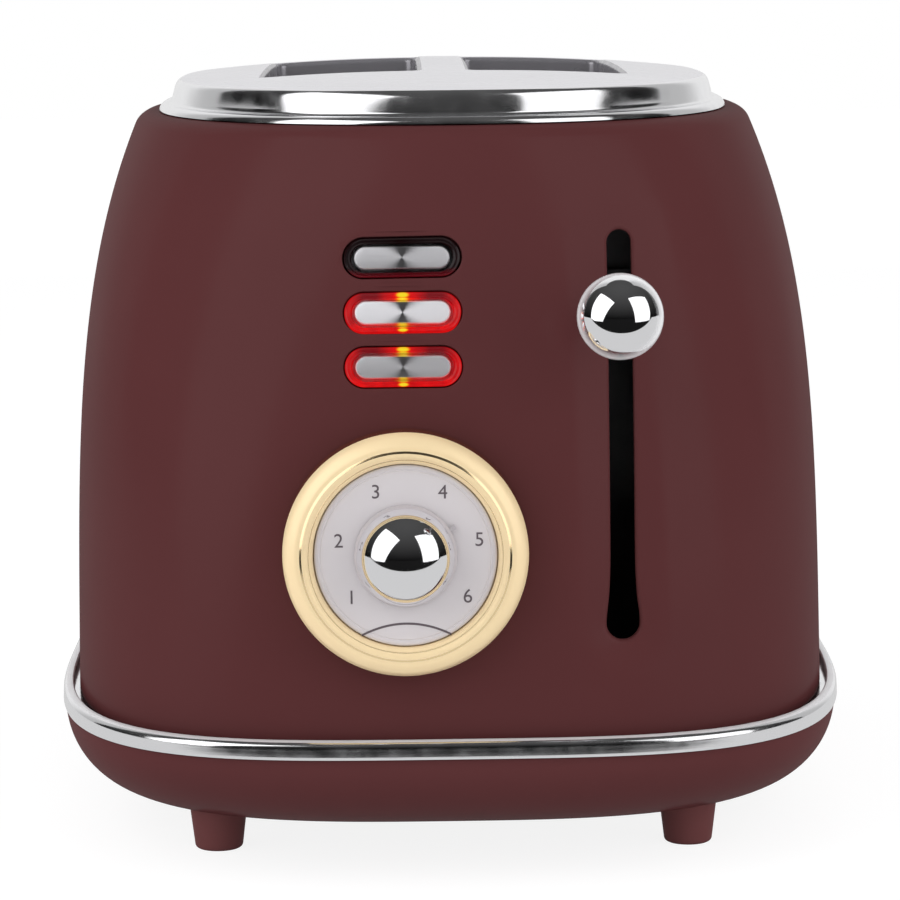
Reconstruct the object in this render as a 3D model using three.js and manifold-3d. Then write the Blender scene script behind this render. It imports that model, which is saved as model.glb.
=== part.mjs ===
import * as THREE from 'three';
import { mergeVertices } from 'three/addons/utils/BufferGeometryUtils.js';
import Module from 'manifold-3d';

// A two-slice toaster with a barrel-shaped body, in millimetres, +Z up.
// The controls are on the narrow end that faces -Y, and the bread slots run from front to back.
// Heights are counted from the table. Half sizes are counted from the body's upright middle axis.

// Clearances
const seatGap = 0.3;
const runGap = 0.6;
const cutOverrun = 4;

// Body: the barrel-shaped upper shell
const bodyHalfWidth = 95;
const bodyHalfLength = 140;
const barrelHeight = 139.7;
const barrelTaper = 15.3;
const barrelTaperPower = 3.75;
const bodySquareness = 3.5;
const rimSquareness = 2.35;
const shoulderRadius = 5;
const shellWall = 2.2;
const rimLedge = 6;
const barrelLevelShares = [0, 0.11, 0.18, 0.38, 0.56, 0.7, 0.81, 0.89, 0.95, 1];
const shoulderSteps = 2;

// Base: tub, feet and the polished band above it
const footHeight = 10;
const tubHeight = 21.5;
const tubWall = 2.4;
const tubSideInset = 16.4;
const tubEndInset = 35.3;
const tubCurvePower = 1.14;
const tubFloorSquareness = 3;
const tubLevelShares = [0, 0.25, 0.5, 0.75, 1];
const baseSquareness = 3.6;
const bandSideProud = 3.9;
const bandEndProud = 5;
const bandHeight = 4.5;
const bandDepth = 9;
const bandEdge = 1.6;
const bandRim = 2.6;
const bandRebate = 2.3;
const bandSideOverTub = 0.5;
const bandEndOverTub = 1.4;
const footTopRadius = 7;
const footTipRadius = 5.9;
const footEdge = 1.2;
const footSideInset = 37.5;
const footEndInset = 46;
const footRise = 12;
const postRadius = 5.5;
const postSideInset = 29;
const postEndInset = 65;
const ventWidth = 3;
const ventLength = 20;
const ventPitch = 9;
const ventCount = 4;
const ventFrontInset = 50;
const ventRearInset = 45;

// Base screws
const screwRadius = 2;
const screwHeadRadius = 4;
const screwHeadHeight = 1.9;
const screwRecess = 0.4;
const screwTipRise = 1.3;

// Top plate
const lipUndercut = 1.6;
const lipHeight = 1.8;
const lipRoll = 0.7;
const lipStep = 3.3;
const lipStepRise = 0.9;
const bevelInset = 2.4;
const bevelRise = 5.1;
const bevelShares = [[0.24, 0.5], [0.56, 0.84]];
const domeRise = 3.8;
const plateWall = 1.2;
const plateLengthExtra = 2.5;
const plateSquareness = 2.47;
const domeShares = [0.6, 0.02];

// Bread slots in the top plate
const slotWidth = 38.7;
const slotFrontSetback = 80;
const slotRearSetback = 65;
const slotBridge = 13;
const slotCorner = 3;
const collarWall = 0.9;
const collarDepth = 10;

// Chassis round the bread wells
const wellMargin = 3.5;
const sheet = 1;
const chassisSheet = 1.2;
const chassisHalfWidth = 61;
const chassisTopDrop = 3;
const sideSheetX = 57;
const sideFlange = 3;
const basePostMargin = 6;
const baseFrontReach = 36.5;
const baseRearReach = 5.5;
const topTabLength = 19;
const topTabLeft = -9;
const topTabRight = 21;
const topTabDrop = 8;

// Heater boards
const micaSheet = 0.8;
const windingRise = 0.4;
const windingHeight = 2.4;
const windingCount = 6;
const heaterTopDrop = 6;
const heaterBottomRise = 5;
const outerHeaterX = 50.5;

// Bread guides, hinged near their lower edge
const guideSheet = 1.6;
const guideFrame = 2.6;
const guideWire = 2.2;
const guideBays = 8;
const guideInset = 2.2;
const guideTopDrop = 4;
const guidePinRadius = 1.5;
const guidePivotRise = 6;
const guideFootDrop = 2.6;

// Lever: knob, arm, carriage, racks
const leverX = 39.5;
const leverDrop = 38.9;
const carriageLowestZ = 29.5;
const leverLift = 14;
const armThickness = 2.4;
const armHeight = 5.4;
const armFootAbove = 3.9;
const armFootBelow = 6;
const armFootWidth = 10;
const armFootThickness = 1.5;
const leverSlotWidth = 5.8;
const leverSlotFlareWidth = 7.9;
const leverSlotFlareHeight = 23;
const leverSlotEndGap = 0.7;
const leverSlotFootGap = 1.6;
const knobRadius = 9.8;
const knobReach = 18.2;
const knobInboard = 1.7;
const knobLift = 0.5;
const shroudInnerWidth = 9.4;
const shroudWall = 1.4;
const shroudDepth = 20;
const shroudMargin = 3.5;

// Scooped flute in the shell round the lever slot
const scoopDepth = 2;
const scoopHalfWidth = 13;
const scoopFade = 13;
const scoopBelowSlot = 8.6;
const scoopAboveSlot = 10.5;

// Carriage, its guide rod and return spring
const carriageSheet = 1.8;
const carriageBelowLever = 32.6;
const carriageAboveLever = 3.9;
const carriageLeft = -36;
const carriageRight = 45;
const carriageClearance = 4.7;
const carriageBossRadius = 4.8;
const carriageBossHeight = 30;
const carriageBossDrop = 4;
const rodRadius = 2;
const rodSetback = 4.6;
const springX = 14;
const springRadius = 3;
const springWire = 0.9;
const springTurns = 7;
const springTabWidth = 10;
const springTabLength = 10;

// Bread racks
const rackRise = 4.5;
const rackArmHeight = 4.5;
const rackArmThickness = 3;
const rackFlangeWidth = 12;
const rackFlangeHeight = 14;
const rackFlangeSheet = 1.5;
const rackTail = 4;
const rackFingerLength = 15;
const rackFingerWidth = 2;
const rackFingerCount = 8;
const rackFingerInset = 6;
const rackSlotWidth = 7;

// Electromagnet and the armature that it holds
const coreWidth = 32;
const coreHeight = 20;
const coreDepth = 12;
const coreLeg = 6;
const coreMiddleLeg = 8;
const coreMiddleX = -20;
const coreSetback = 26.5;
const coilWall = 5;
const coilHeight = 12;
const armatureLength = 30;
const armatureDepth = 10;
const armatureSheet = 2;
const armatureStud = 2;
const ledgeSheet = 1.6;

// Browning control
const dialX = -11;
const dialHeightShare = 0.32713;
const bezelRadius = 28;
const bezelRise = 9.2;
const bezelThroat = 21.3;
const throatRiseShare = 0.76;
const bezelCrestShares = [[0.15, 0.9], [0.35, 1], [0.6, 0.95], [0.84, 0.78], [1, 0.48]];
const bezelSpigotRadius = 24;
const bezelSpigotWall = 2;
const bezelSpigotDepth = 8.5;
const bezelFloorRise = 4.7;
const bezelFloor = 1.8;
const bezelFloorHole = 6;
const bezelSegments = 28;
const faceSheet = 1.5;
const faceHole = 4;
const domeRadius = 11.3;
const domeHeight = 7.4;
const collarRadius = 12.1;
const collarHeight = 1.2;
const collarSlope = 0.4;
const knobBoreDepth = 5.2;
const shaftRadius = 3;
const pointerAngle = 60;
const pointerWidth = 1.4;
const pointerReach = 1.6;
const pointerHeight = 0.8;
const potRadius = 8.5;
const potDepth = 7.5;
const potBushRadius = 4.6;
const potBushLength = 8;
const potSetback = 22.2;

// Buttons and their light rings, from the top down
const buttonX = -11;
const buttonHeightShares = [0.81031, 0.72083, 0.63135];
const buttonLength = 22.8;
const buttonWidth = 5.8;
const buttonRecess = 0.5;
const buttonTravel = 1.5;
const buttonShankWidth = 5;
const buttonShankLength = 8;
const buttonFlangeLength = 26;
const buttonFlangeWidth = 7;
const buttonFlangeSheet = 1.5;
const ringLength = 27;
const ringWidth = 9.2;
const ringBore = 0.4;
const ringDepth = 7;
const ringChannel = 0.8;
const ringRim = 0.7;
const ringFlangeLength = 32;
const ringFlangeSheet = 1.6;
const ringFlangeDepth = 4.4;
const switchSize = 6;
const switchDepth = 4;
const switchStemSize = 3;
const switchStemLength = 1.2;

// Boards
const boardSheet = 1.6;
const boardClearance = 0.9;
const controlBoardWidth = 56;
const controlBoardHeight = 46;
const controlBossX = 24;
const controlBossZ = 17;
const buttonBoardWidth = 52;
const buttonBoardHeight = 38;
const buttonBossX = 22;
const bossRadius = 3;
const powerBoardWidth = 96;
const powerBoardHeight = 72;
const powerBoardRise = 18;
const powerBoardStandoff = 7;
const powerBossX = 41;
const powerBossInset = 8;
const relayWidth = 18;
const relayHeight = 22;
const relayDepth = 14;
const relayOffset = 22;

// Crumb tray and its pull
const trayOverlap = 0.8;
const trayFrontReach = 2.5;
const trayWallHeight = 9;
const traySheet = 0.9;
const pullDepth = 31.6;
const pullHeight = 11;
const pullWall = 2.2;
const pullLipHalfLength = 22;
const pullLipProud = 0.8;
const pullLipSheet = 2.4;
const pullLipRise = 8.8;
const pullLipEmbed = 1;
const pullLipCorner = 4;
const runnerWall = 1.5;
const runnerHeight = 7;
const runnerEndGap = 8;

// Cord gland at the rear
const glandX = -40;
const glandZ = 54;
const glandRadius = 6;
const glandFlangeRadius = 8.5;
const glandFlange = 2.6;
const glandDepth = 9;
const glandBore = 3.6;
const glandEdge = 1;

// Facet counts
const bodyColumns = 40;
const scoopSplit = 3;
const fineColumnsX = 46;
const fineColumnsReach = 19.5;
const roundSegments = 20;
const smallSegments = 14;
const pinSegments = 10;
const springSteps = 7;
const springArcSegments = 3;
const arcSegments = 3;
const cornerSegments = 2;
const coarseSegments = 1;
const domeSteps = 5;
const mergeTolerance = 1e-4;

// Heights and places that follow from the sizes above
const tubRimZ = footHeight + tubHeight;
const bandBottomZ = tubRimZ + seatGap;
const bandTopZ = bandBottomZ + bandHeight;
const shellBottomZ = bandTopZ - bandRebate + seatGap;
const shoulderZ = shellBottomZ + barrelHeight;
const lengthExtra = bodyHalfLength - bodyHalfWidth;
const shoulderLean = Math.atan(barrelTaper * barrelTaperPower / barrelHeight);
const shoulderHalfWidth = bodyHalfWidth - barrelTaper;
const shoulderCentreX = shoulderHalfWidth - shoulderRadius * Math.cos(shoulderLean);
const shoulderCentreZ = shoulderZ - shoulderRadius * Math.sin(shoulderLean);
const rimZ = shoulderCentreZ + shoulderRadius;
const bandHalfWidth = bodyHalfWidth + bandSideProud;
const bandHalfLength = bodyHalfLength + bandEndProud;
const tubHalfWidth = bandHalfWidth - bandSideOverTub;
const tubHalfLength = bandHalfLength - bandEndOverTub;
const tubFloorZ = footHeight + tubWall;
const footX = bodyHalfWidth - footSideInset;
const footY = bodyHalfLength - footEndInset;
const postX = bodyHalfWidth - postSideInset;
const postY = bodyHalfLength - postEndInset;
const ventFrontY = ventFrontInset - bodyHalfLength;
const ventRearY = bodyHalfLength - ventRearInset;
const dialZ = shellBottomZ + barrelHeight * dialHeightShare;
const buttonHeights = buttonHeightShares.map((share) => shellBottomZ + barrelHeight * share);

const plateBottomZ = rimZ + seatGap;
const lipHalfWidth = shoulderCentreX - lipUndercut;
const plateEdgeHalfWidth = lipHalfWidth - lipStep - bevelInset;
const lipTopZ = plateBottomZ + lipHeight;
const bevelBottomZ = lipTopZ + lipStepRise;
const plateEdgeZ = bevelBottomZ + bevelRise;
const plateTopZ = plateEdgeZ + domeRise;

const slotFrontY = slotFrontSetback - bodyHalfLength;
const slotRearY = bodyHalfLength - slotRearSetback;
const slotLength = slotRearY - slotFrontY;
const slotMiddleY = (slotFrontY + slotRearY) / 2;
const slotMiddleX = (slotBridge + slotWidth) / 2;
const crumbWindowHalfWidth = slotMiddleX + slotWidth / 2;
const trayHalfWidth = crumbWindowHalfWidth + trayOverlap;
const collarBottomZ = plateEdgeZ - collarDepth;
const wellFrontY = slotFrontY - wellMargin;
const wellRearY = slotRearY + wellMargin;
const baseHalfWidth = postX + basePostMargin;
const baseFrontY = wellFrontY - baseFrontReach;
const baseRearY = wellRearY + baseRearReach;
const coreMiddleY = wellFrontY - coreSetback;
const trayFrontY = wellFrontY - trayFrontReach;
const pullSplitY = tubHalfLength - pullDepth;
const pullLipReach = tubHalfLength + pullLipProud;
const runnerRearY = pullSplitY - runnerEndGap;
const chassisTopZ = plateBottomZ - chassisTopDrop;

const leverZ = shoulderZ - leverDrop;
const carriageBottom = leverZ - carriageBelowLever;
const carriageTop = leverZ + carriageAboveLever;
const rackTop = carriageBottom + rackRise;
const leverTravel = carriageBottom - carriageLowestZ;
const leverSlotTopZ = leverZ + leverLift + armHeight / 2 + leverSlotEndGap;
const leverSlotBottomZ = leverZ - leverTravel - armHeight / 2 - leverSlotFootGap;
const carriageY = wellFrontY - chassisSheet - carriageClearance - carriageSheet / 2;
const carriageFrontY = carriageY - carriageSheet / 2;
const carriageRearY = carriageY + carriageSheet / 2;
const rodY = carriageFrontY - rodSetback;
const postTopZ = carriageBottom - leverTravel - seatGap - seatGap - seatGap - chassisSheet - seatGap;
const basePlateZ = postTopZ + seatGap;
const basePlateTopZ = basePlateZ + chassisSheet;
const standZ = basePlateTopZ + seatGap;
const topTabZ = chassisTopZ - topTabDrop;
const coreTopZ = standZ + coreHeight;
const armatureZ = coreTopZ + leverTravel + seatGap;
const ledgeZ = armatureZ + armatureSheet + seatGap;
const knobY = -bodyHalfLength - knobReach;

// The whole is set back so that the middle of its outer box stands on the origin.
const settingBack = (knobRadius - knobY - bandHalfLength) / 2;

// Finishes
const paint = () => new THREE.MeshStandardMaterial({ color: 0x583132, roughness: 0.45, metalness: 0 });
const chrome = () => new THREE.MeshStandardMaterial({ color: 0xd8d9dc, roughness: 0.08, metalness: 1 });
const satin = () => new THREE.MeshStandardMaterial({ color: 0xdedde2, roughness: 0.3, metalness: 1 });
const gold = () => new THREE.MeshStandardMaterial({ color: 0xecd5aa, roughness: 0.18, metalness: 1 });
const steel = () => new THREE.MeshStandardMaterial({ color: 0xa9abad, roughness: 0.35, metalness: 1 });
const zinc = () => new THREE.MeshStandardMaterial({ color: 0xb9bcbe, roughness: 0.5, metalness: 1 });
const darkSteel = () => new THREE.MeshStandardMaterial({ color: 0x6d6f72, roughness: 0.5, metalness: 1 });
const mica = () => new THREE.MeshStandardMaterial({ color: 0xc9b489, roughness: 0.6, metalness: 0 });
const greyPlastic = () => new THREE.MeshStandardMaterial({ color: 0xc4bfc1, roughness: 0.5, metalness: 0 });
const blackPlastic = () => new THREE.MeshStandardMaterial({ color: 0x17171a, roughness: 0.5, metalness: 0 });
const redLens = () => new THREE.MeshStandardMaterial({ color: 0xb01018, roughness: 0.2, metalness: 0 });
const circuit = () => new THREE.MeshStandardMaterial({ color: 0x2f5d3a, roughness: 0.6, metalness: 0 });
const copper = () => new THREE.MeshStandardMaterial({ color: 0xb5703a, roughness: 0.4, metalness: 1 });

// Solid helpers

const wasm = await Module();
wasm.setup();

function triangleCorners(index) {
  const corners = [];
  for (let i = 0; i < index.length; i += 3) {
    const [a, b, c] = [index[i], index[i + 1], index[i + 2]];
    if (a !== b && b !== c && c !== a) corners.push(a, b, c);
  }
  return corners;
}

function signedVolume(position, corners) {
  const [a, b, c] = [new THREE.Vector3(), new THREE.Vector3(), new THREE.Vector3()];
  let sum = 0;
  for (let i = 0; i < corners.length; i += 3) {
    a.fromBufferAttribute(position, corners[i]);
    b.fromBufferAttribute(position, corners[i + 1]);
    c.fromBufferAttribute(position, corners[i + 2]);
    sum += a.dot(b.cross(c));
  }
  return sum;
}

// A closed geometry as a solid that can be joined and cut, with its faces turned outwards.
function solidOf(geometry) {
  const bare = geometry.clone();
  bare.deleteAttribute('normal');
  bare.deleteAttribute('uv');
  const merged = mergeVertices(bare, mergeTolerance);
  const corners = triangleCorners(merged.index.array);
  if (signedVolume(merged.attributes.position, corners) < 0) corners.reverse();
  return new wasm.Manifold(new wasm.Mesh({
    numProp: 3,
    vertProperties: new Float32Array(merged.attributes.position.array),
    triVerts: new Uint32Array(corners),
  }));
}

function piece(name, solid, material) {
  const result = solid.getMesh();
  const geometry = new THREE.BufferGeometry();
  geometry.setAttribute('position', new THREE.BufferAttribute(result.vertProperties, 3));
  geometry.setIndex(new THREE.BufferAttribute(result.triVerts, 1));
  const mesh = new THREE.Mesh(geometry, material);
  mesh.name = name;
  return mesh;
}

function joined(solids) {
  return solids.reduce((whole, next) => whole.add(next));
}

function box(fromX, toX, fromY, toY, fromZ, toZ) {
  const geometry = new THREE.BoxGeometry(toX - fromX, toY - fromY, toZ - fromZ);
  return solidOf(geometry.translate((fromX + toX) / 2, (fromY + toY) / 2, (fromZ + toZ) / 2));
}

function extruded(shape, depth, curveSegments = arcSegments) {
  return new THREE.ExtrudeGeometry(shape, { depth, bevelEnabled: false, curveSegments });
}

// A shape drawn as (x, z) and pulled along Y.
const alongY = new THREE.Matrix4().makeBasis(
  new THREE.Vector3(1, 0, 0), new THREE.Vector3(0, 0, 1), new THREE.Vector3(0, -1, 0));

function pulledAlongY(shape, fromY, toY, curveSegments = arcSegments) {
  const geometry = extruded(shape, toY - fromY, curveSegments);
  return solidOf(geometry.applyMatrix4(alongY).translate(0, toY, 0));
}

function pulledAlongZ(shape, fromZ, toZ, curveSegments = arcSegments) {
  return solidOf(extruded(shape, toZ - fromZ, curveSegments).translate(0, 0, fromZ));
}

function rodAlongY(radius, x, z, fromY, toY, segments = smallSegments) {
  const geometry = new THREE.CylinderGeometry(radius, radius, toY - fromY, segments);
  return solidOf(geometry.translate(x, (fromY + toY) / 2, z));
}

function rodAlongZ(radius, x, y, fromZ, toZ, segments = smallSegments) {
  const geometry = new THREE.CylinderGeometry(radius, radius, toZ - fromZ, segments);
  return solidOf(geometry.rotateX(Math.PI / 2).translate(x, y, (fromZ + toZ) / 2));
}

// A profile of [radius, place] turned about Y.
function turnedAboutY(profile, segments) {
  return new THREE.LatheGeometry(profile.map(([r, y]) => new THREE.Vector2(r, y)), segments);
}

function turnedAboutZ(profile, segments) {
  return turnedAboutY(profile, segments).rotateX(Math.PI / 2);
}

function roundedRectangle(halfWidth, halfHeight, corner, middleX = 0, middleY = 0) {
  const shape = new THREE.Shape();
  const [right, top] = [middleX + halfWidth - corner, middleY + halfHeight - corner];
  const [left, bottom] = [middleX - halfWidth + corner, middleY - halfHeight + corner];
  shape.absarc(right, top, corner, 0, Math.PI / 2);
  shape.absarc(left, top, corner, Math.PI / 2, Math.PI);
  shape.absarc(left, bottom, corner, Math.PI, Math.PI * 1.5);
  shape.absarc(right, bottom, corner, Math.PI * 1.5, Math.PI * 2);
  shape.closePath();
  return shape;
}

function pill(length, width) {
  const shape = new THREE.Shape();
  const reach = (length - width) / 2;
  shape.absarc(reach, 0, width / 2, -Math.PI / 2, Math.PI / 2);
  shape.absarc(-reach, 0, width / 2, Math.PI / 2, Math.PI * 1.5);
  shape.closePath();
  return shape;
}

function polygon(points) {
  return new THREE.Shape(points.map(([x, y]) => new THREE.Vector2(x, y)));
}

// A ring of points on a superellipse. Squareness 2 is an ellipse, and more is squarer.
function ringOf(halfWidth, halfLength, squareness, z, angles) {
  return angles.map((angle) => {
    const [c, s] = [Math.cos(angle), Math.sin(angle)];
    const x = halfWidth * Math.sign(c) * Math.abs(c) ** (2 / squareness);
    const y = halfLength * Math.sign(s) * Math.abs(s) ** (2 / squareness);
    return new THREE.Vector3(x, y, z);
  });
}

// A skin over rings. Round trip joins the last ring to the first, otherwise both ends are closed flat.
function skin(rings, roundTrip) {
  const count = rings[0].length;
  const points = rings.flat();
  const faces = [];
  const spans = roundTrip ? rings.length : rings.length - 1;
  for (let i = 0; i < spans; i += 1) {
    const low = i * count;
    const high = ((i + 1) % rings.length) * count;
    for (let j = 0; j < count; j += 1) {
      const k = (j + 1) % count;
      faces.push(low + j, low + k, high + k, low + j, high + k, high + j);
    }
  }
  if (!roundTrip) {
    const last = (rings.length - 1) * count;
    const bottom = points.length;
    const top = bottom + 1;
    points.push(middleOf(rings[0]), middleOf(rings[rings.length - 1]));
    for (let j = 0; j < count; j += 1) {
      const k = (j + 1) % count;
      faces.push(bottom, k, j, top, last + j, last + k);
    }
  }
  const geometry = new THREE.BufferGeometry().setFromPoints(points);
  geometry.setIndex(faces);
  return geometry;
}

function middleOf(ring) {
  const sum = ring.reduce((total, point) => total.add(point), new THREE.Vector3());
  return sum.divideScalar(ring.length);
}

function blend(from, to, share) {
  return from + (to - from) * share;
}

function smoothStep(value) {
  const held = THREE.MathUtils.clamp(value, 0, 1);
  return held * held * (3 - 2 * held);
}

const evenAngles = Array.from({ length: bodyColumns }, (_, i) => i / bodyColumns * Math.PI * 2);

// Body surface

function bodyHalfWidthAt(z) {
  const share = THREE.MathUtils.clamp((z - shellBottomZ) / barrelHeight, 0, 1);
  return bodyHalfWidth - barrelTaper * share ** barrelTaperPower;
}

function bodySquarenessAt(z) {
  return blend(bodySquareness, rimSquareness, (z - shellBottomZ) / (rimZ - shellBottomZ));
}

// How far the end wall stands from the middle axis, at a place across the body.
function endWallAt(x, z) {
  const halfWidth = bodyHalfWidthAt(z);
  const squareness = bodySquarenessAt(z);
  return (halfWidth + lengthExtra) * (1 - (Math.abs(x) / halfWidth) ** squareness) ** (1 / squareness);
}

function wallLeanAt(z) {
  const share = (z - shellBottomZ) / barrelHeight;
  return Math.atan(barrelTaper * barrelTaperPower * share ** (barrelTaperPower - 1) / barrelHeight);
}

// How far the flute round the lever slot sinks into the front wall.
function scoopAt(x, z) {
  const across = Math.abs(x - leverX) / scoopHalfWidth;
  if (across >= 1) return 0;
  const rise = smoothStep((z - leverSlotBottomZ + scoopBelowSlot) / scoopFade);
  const fall = smoothStep((leverSlotTopZ + scoopAboveSlot - z) / scoopFade);
  return scoopDepth * Math.cos(across * Math.PI / 2) ** 2 * rise * fall;
}

// Columns round the body, closer together where the flute is.
function bodyAngles() {
  const step = Math.PI * 2 / bodyColumns;
  const angles = [];
  for (let i = 0; i < bodyColumns; i += 1) {
    const middle = (i + 0.5) * step;
    const x = bodyHalfWidth * Math.cos(middle) ** (2 / bodySquareness);
    const fluted = Math.sin(middle) < 0 && Math.abs(x - fineColumnsX) < fineColumnsReach;
    const parts = fluted ? scoopSplit : 1;
    for (let j = 0; j < parts; j += 1) angles.push((i + j / parts) * step);
  }
  return angles;
}

const columns = bodyAngles();

function bodyRing(halfWidth, z) {
  const ring = ringOf(halfWidth, halfWidth + lengthExtra, bodySquarenessAt(z), z, columns);
  return ring.map((point) => (point.y < 0 ? point.setY(point.y + scoopAt(point.x, point.z)) : point));
}

function barrelRings(inset) {
  return barrelLevelShares.map((share) => {
    const z = shellBottomZ + share * barrelHeight;
    return bodyRing(bodyHalfWidthAt(z) - inset, z);
  });
}

function shoulderRings(inset) {
  const radius = shoulderRadius - inset;
  return Array.from({ length: shoulderSteps }, (_, i) => {
    const angle = blend(shoulderLean, Math.PI / 2, (i + 1) / shoulderSteps);
    return bodyRing(shoulderCentreX + radius * Math.cos(angle), shoulderCentreZ + radius * Math.sin(angle));
  });
}

// The body's outer form as one filled piece, drawn in by an inset or let out by a negative one.
function filledBody(inset) {
  return skin([...barrelRings(inset), ...shoulderRings(inset)], false);
}

// Upper shell

function leverSlotShape() {
  const [top, wide] = [leverSlotWidth / 2, leverSlotFlareWidth / 2];
  const flareTop = leverSlotBottomZ + leverSlotFlareHeight;
  const flareBottom = leverSlotBottomZ + wide;
  const bend = flareBottom + wide;
  const shape = new THREE.Shape();
  shape.absarc(leverX, leverSlotTopZ - top, top, 0, Math.PI);
  shape.lineTo(leverX - top, flareTop);
  shape.bezierCurveTo(leverX - top, bend, leverX - wide, bend, leverX - wide, flareBottom);
  shape.absarc(leverX, flareBottom, wide, Math.PI, Math.PI * 2);
  shape.bezierCurveTo(leverX + wide, bend, leverX + top, bend, leverX + top, flareTop);
  shape.closePath();
  return shape;
}

function buttonFrame(z) {
  const frame = new THREE.Group();
  frame.position.set(buttonX, -endWallAt(buttonX, z), z);
  frame.rotation.x = -wallLeanAt(z);
  frame.updateMatrix();
  return frame;
}

const switchBackDepth = ringDepth + seatGap + buttonFlangeSheet + buttonTravel + seatGap
  + buttonShankLength - buttonTravel + switchStemLength + switchDepth;
const boardDepth = switchBackDepth + boardClearance;
const dialFaceY = -endWallAt(dialX, dialZ);
const controlBoardY = dialFaceY + potSetback + seatGap;

function boardBosses() {
  const middleFrame = buttonFrame(buttonHeights[1]);
  const bosses = [];
  for (const side of [-1, 1]) {
    const upright = rodAlongY(bossRadius, dialX + side * controlBossX, dialZ - controlBossZ,
      dialFaceY, controlBoardY - seatGap, pinSegments);
    const leaning = new THREE.CylinderGeometry(bossRadius, bossRadius, boardDepth - seatGap, pinSegments);
    leaning.translate(side * buttonBossX, (boardDepth - seatGap) / 2, 0).applyMatrix4(middleFrame.matrix);
    bosses.push(upright, solidOf(leaning));
  }
  return joined(bosses).intersect(solidOf(filledBody(shellWall / 2)));
}

function upperShell() {
  const walls = solidOf(skin([
    ...barrelRings(0),
    ...shoulderRings(0),
    bodyRing(shoulderCentreX - rimLedge, rimZ),
    bodyRing(shoulderCentreX - rimLedge, rimZ - shellWall),
    ...shoulderRings(shellWall).reverse(),
    ...barrelRings(shellWall).reverse(),
  ], true));
  const reach = bodyHalfLength + cutOverrun;
  const dialHole = rodAlongY(bezelSpigotRadius + seatGap, dialX, dialZ, -reach, controlBoardY, roundSegments);
  const leverSlot = pulledAlongY(leverSlotShape(), -reach, rodY);
  const glandHole = rodAlongY(glandRadius + seatGap, glandX, glandZ, wellRearY, reach, smallSegments);
  let shell = walls.add(boardBosses()).subtract(dialHole).subtract(leverSlot).subtract(glandHole);
  for (const z of buttonHeights) {
    const outline = pill(ringLength + seatGap * 2, ringWidth + seatGap * 2);
    const hole = extruded(outline, cutOverrun * 2 + shellWall).applyMatrix4(alongY);
    hole.translate(0, cutOverrun + shellWall, 0).applyMatrix4(buttonFrame(z).matrix);
    shell = shell.subtract(solidOf(hole));
  }
  return piece('upper_shell', shell, paint());
}

// Base

function tubRing(share, inset) {
  const turn = share * Math.PI / 2;
  const curl = 1 - Math.max(Math.cos(turn), 0) ** tubCurvePower;
  const z = blend(tubRimZ, footHeight + inset, Math.sin(turn));
  return ringOf(tubHalfWidth - tubSideInset * curl - inset, tubHalfLength - tubEndInset * curl - inset,
    blend(baseSquareness, tubFloorSquareness, share), z, evenAngles);
}

function filledTub(inset) {
  return solidOf(skin([...tubLevelShares].reverse().map((share) => tubRing(share, inset)), false));
}

function baseTub() {
  const outer = [...tubLevelShares].reverse().map((share) => tubRing(share, 0));
  const inner = tubLevelShares.map((share) => tubRing(share, tubWall));
  const pullTopZ = tubFloorZ + seatGap + pullHeight;
  const parts = [solidOf(skin([...outer, ...inner], false))];
  for (const side of [-1, 1]) {
    const inside = side * (trayHalfWidth + runGap);
    const outside = side * (trayHalfWidth + runGap + runnerWall);
    parts.push(box(Math.min(inside, outside), Math.max(inside, outside), trayFrontY, runnerRearY,
      footHeight + tubWall / 2, tubFloorZ + runnerHeight));
    for (const end of [-1, 1]) {
      parts.push(rodAlongZ(postRadius, side * postX, end * postY, footHeight + tubWall / 2, postTopZ));
    }
  }
  let tub = joined(parts);
  const screwSeatZ = footHeight + screwRecess + screwHeadHeight + seatGap;
  for (const side of [-1, 1]) {
    for (const end of [-1, 1]) {
      const [x, y] = [side * postX, end * postY];
      tub = tub.subtract(rodAlongZ(screwRadius + seatGap, x, y, 0, postTopZ + cutOverrun, pinSegments));
      tub = tub.subtract(rodAlongZ(screwHeadRadius + seatGap, x, y, 0, screwSeatZ));
    }
  }
  for (let i = 0; i < ventCount; i += 1) {
    const x = (i - (ventCount - 1) / 2) * ventPitch;
    for (const y of [ventFrontY, ventRearY]) {
      const vent = roundedRectangle(ventWidth / 2, ventLength / 2, ventWidth / 2, x, y);
      tub = tub.subtract(pulledAlongZ(vent, footHeight - cutOverrun, tubFloorZ + cutOverrun, coarseSegments));
    }
  }
  const mouth = box(-trayHalfWidth - seatGap, trayHalfWidth + seatGap, 0,
    tubHalfLength + cutOverrun, tubFloorZ, pullTopZ + seatGap);
  return piece('base_tub', tub.subtract(mouth), paint());
}

function trimBand() {
  const across = [
    [bandDepth, 0], [bandEdge, 0], [0, bandEdge],
    [0, bandHeight - bandEdge], [bandEdge, bandHeight], [bandRim, bandHeight],
    [bandRim, bandHeight - bandRebate], [bandDepth, bandHeight - bandRebate],
  ];
  const rings = across.map(([inset, rise]) => ringOf(bandHalfWidth - inset, bandHalfLength - inset,
    baseSquareness, bandBottomZ + rise, evenAngles));
  return piece('trim_band', solidOf(skin(rings, true)), chrome());
}

function feet() {
  const topZ = footHeight + footRise;
  const topRadius = footTopRadius + (footTopRadius - footTipRadius) * footRise / footHeight;
  const profile = [
    [0, 0], [footTipRadius - footEdge, 0], [footTipRadius, footEdge], [topRadius, topZ], [0, topZ],
  ];
  const tub = filledTub(-seatGap);
  const places = [['front_left', -1, -1], ['front_right', 1, -1], ['rear_left', -1, 1], ['rear_right', 1, 1]];
  return places.map(([place, side, end]) => {
    const leg = solidOf(turnedAboutZ(profile, smallSegments).translate(side * footX, end * footY, 0));
    return piece(`foot_${place}`, leg.subtract(tub), paint());
  });
}

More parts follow.
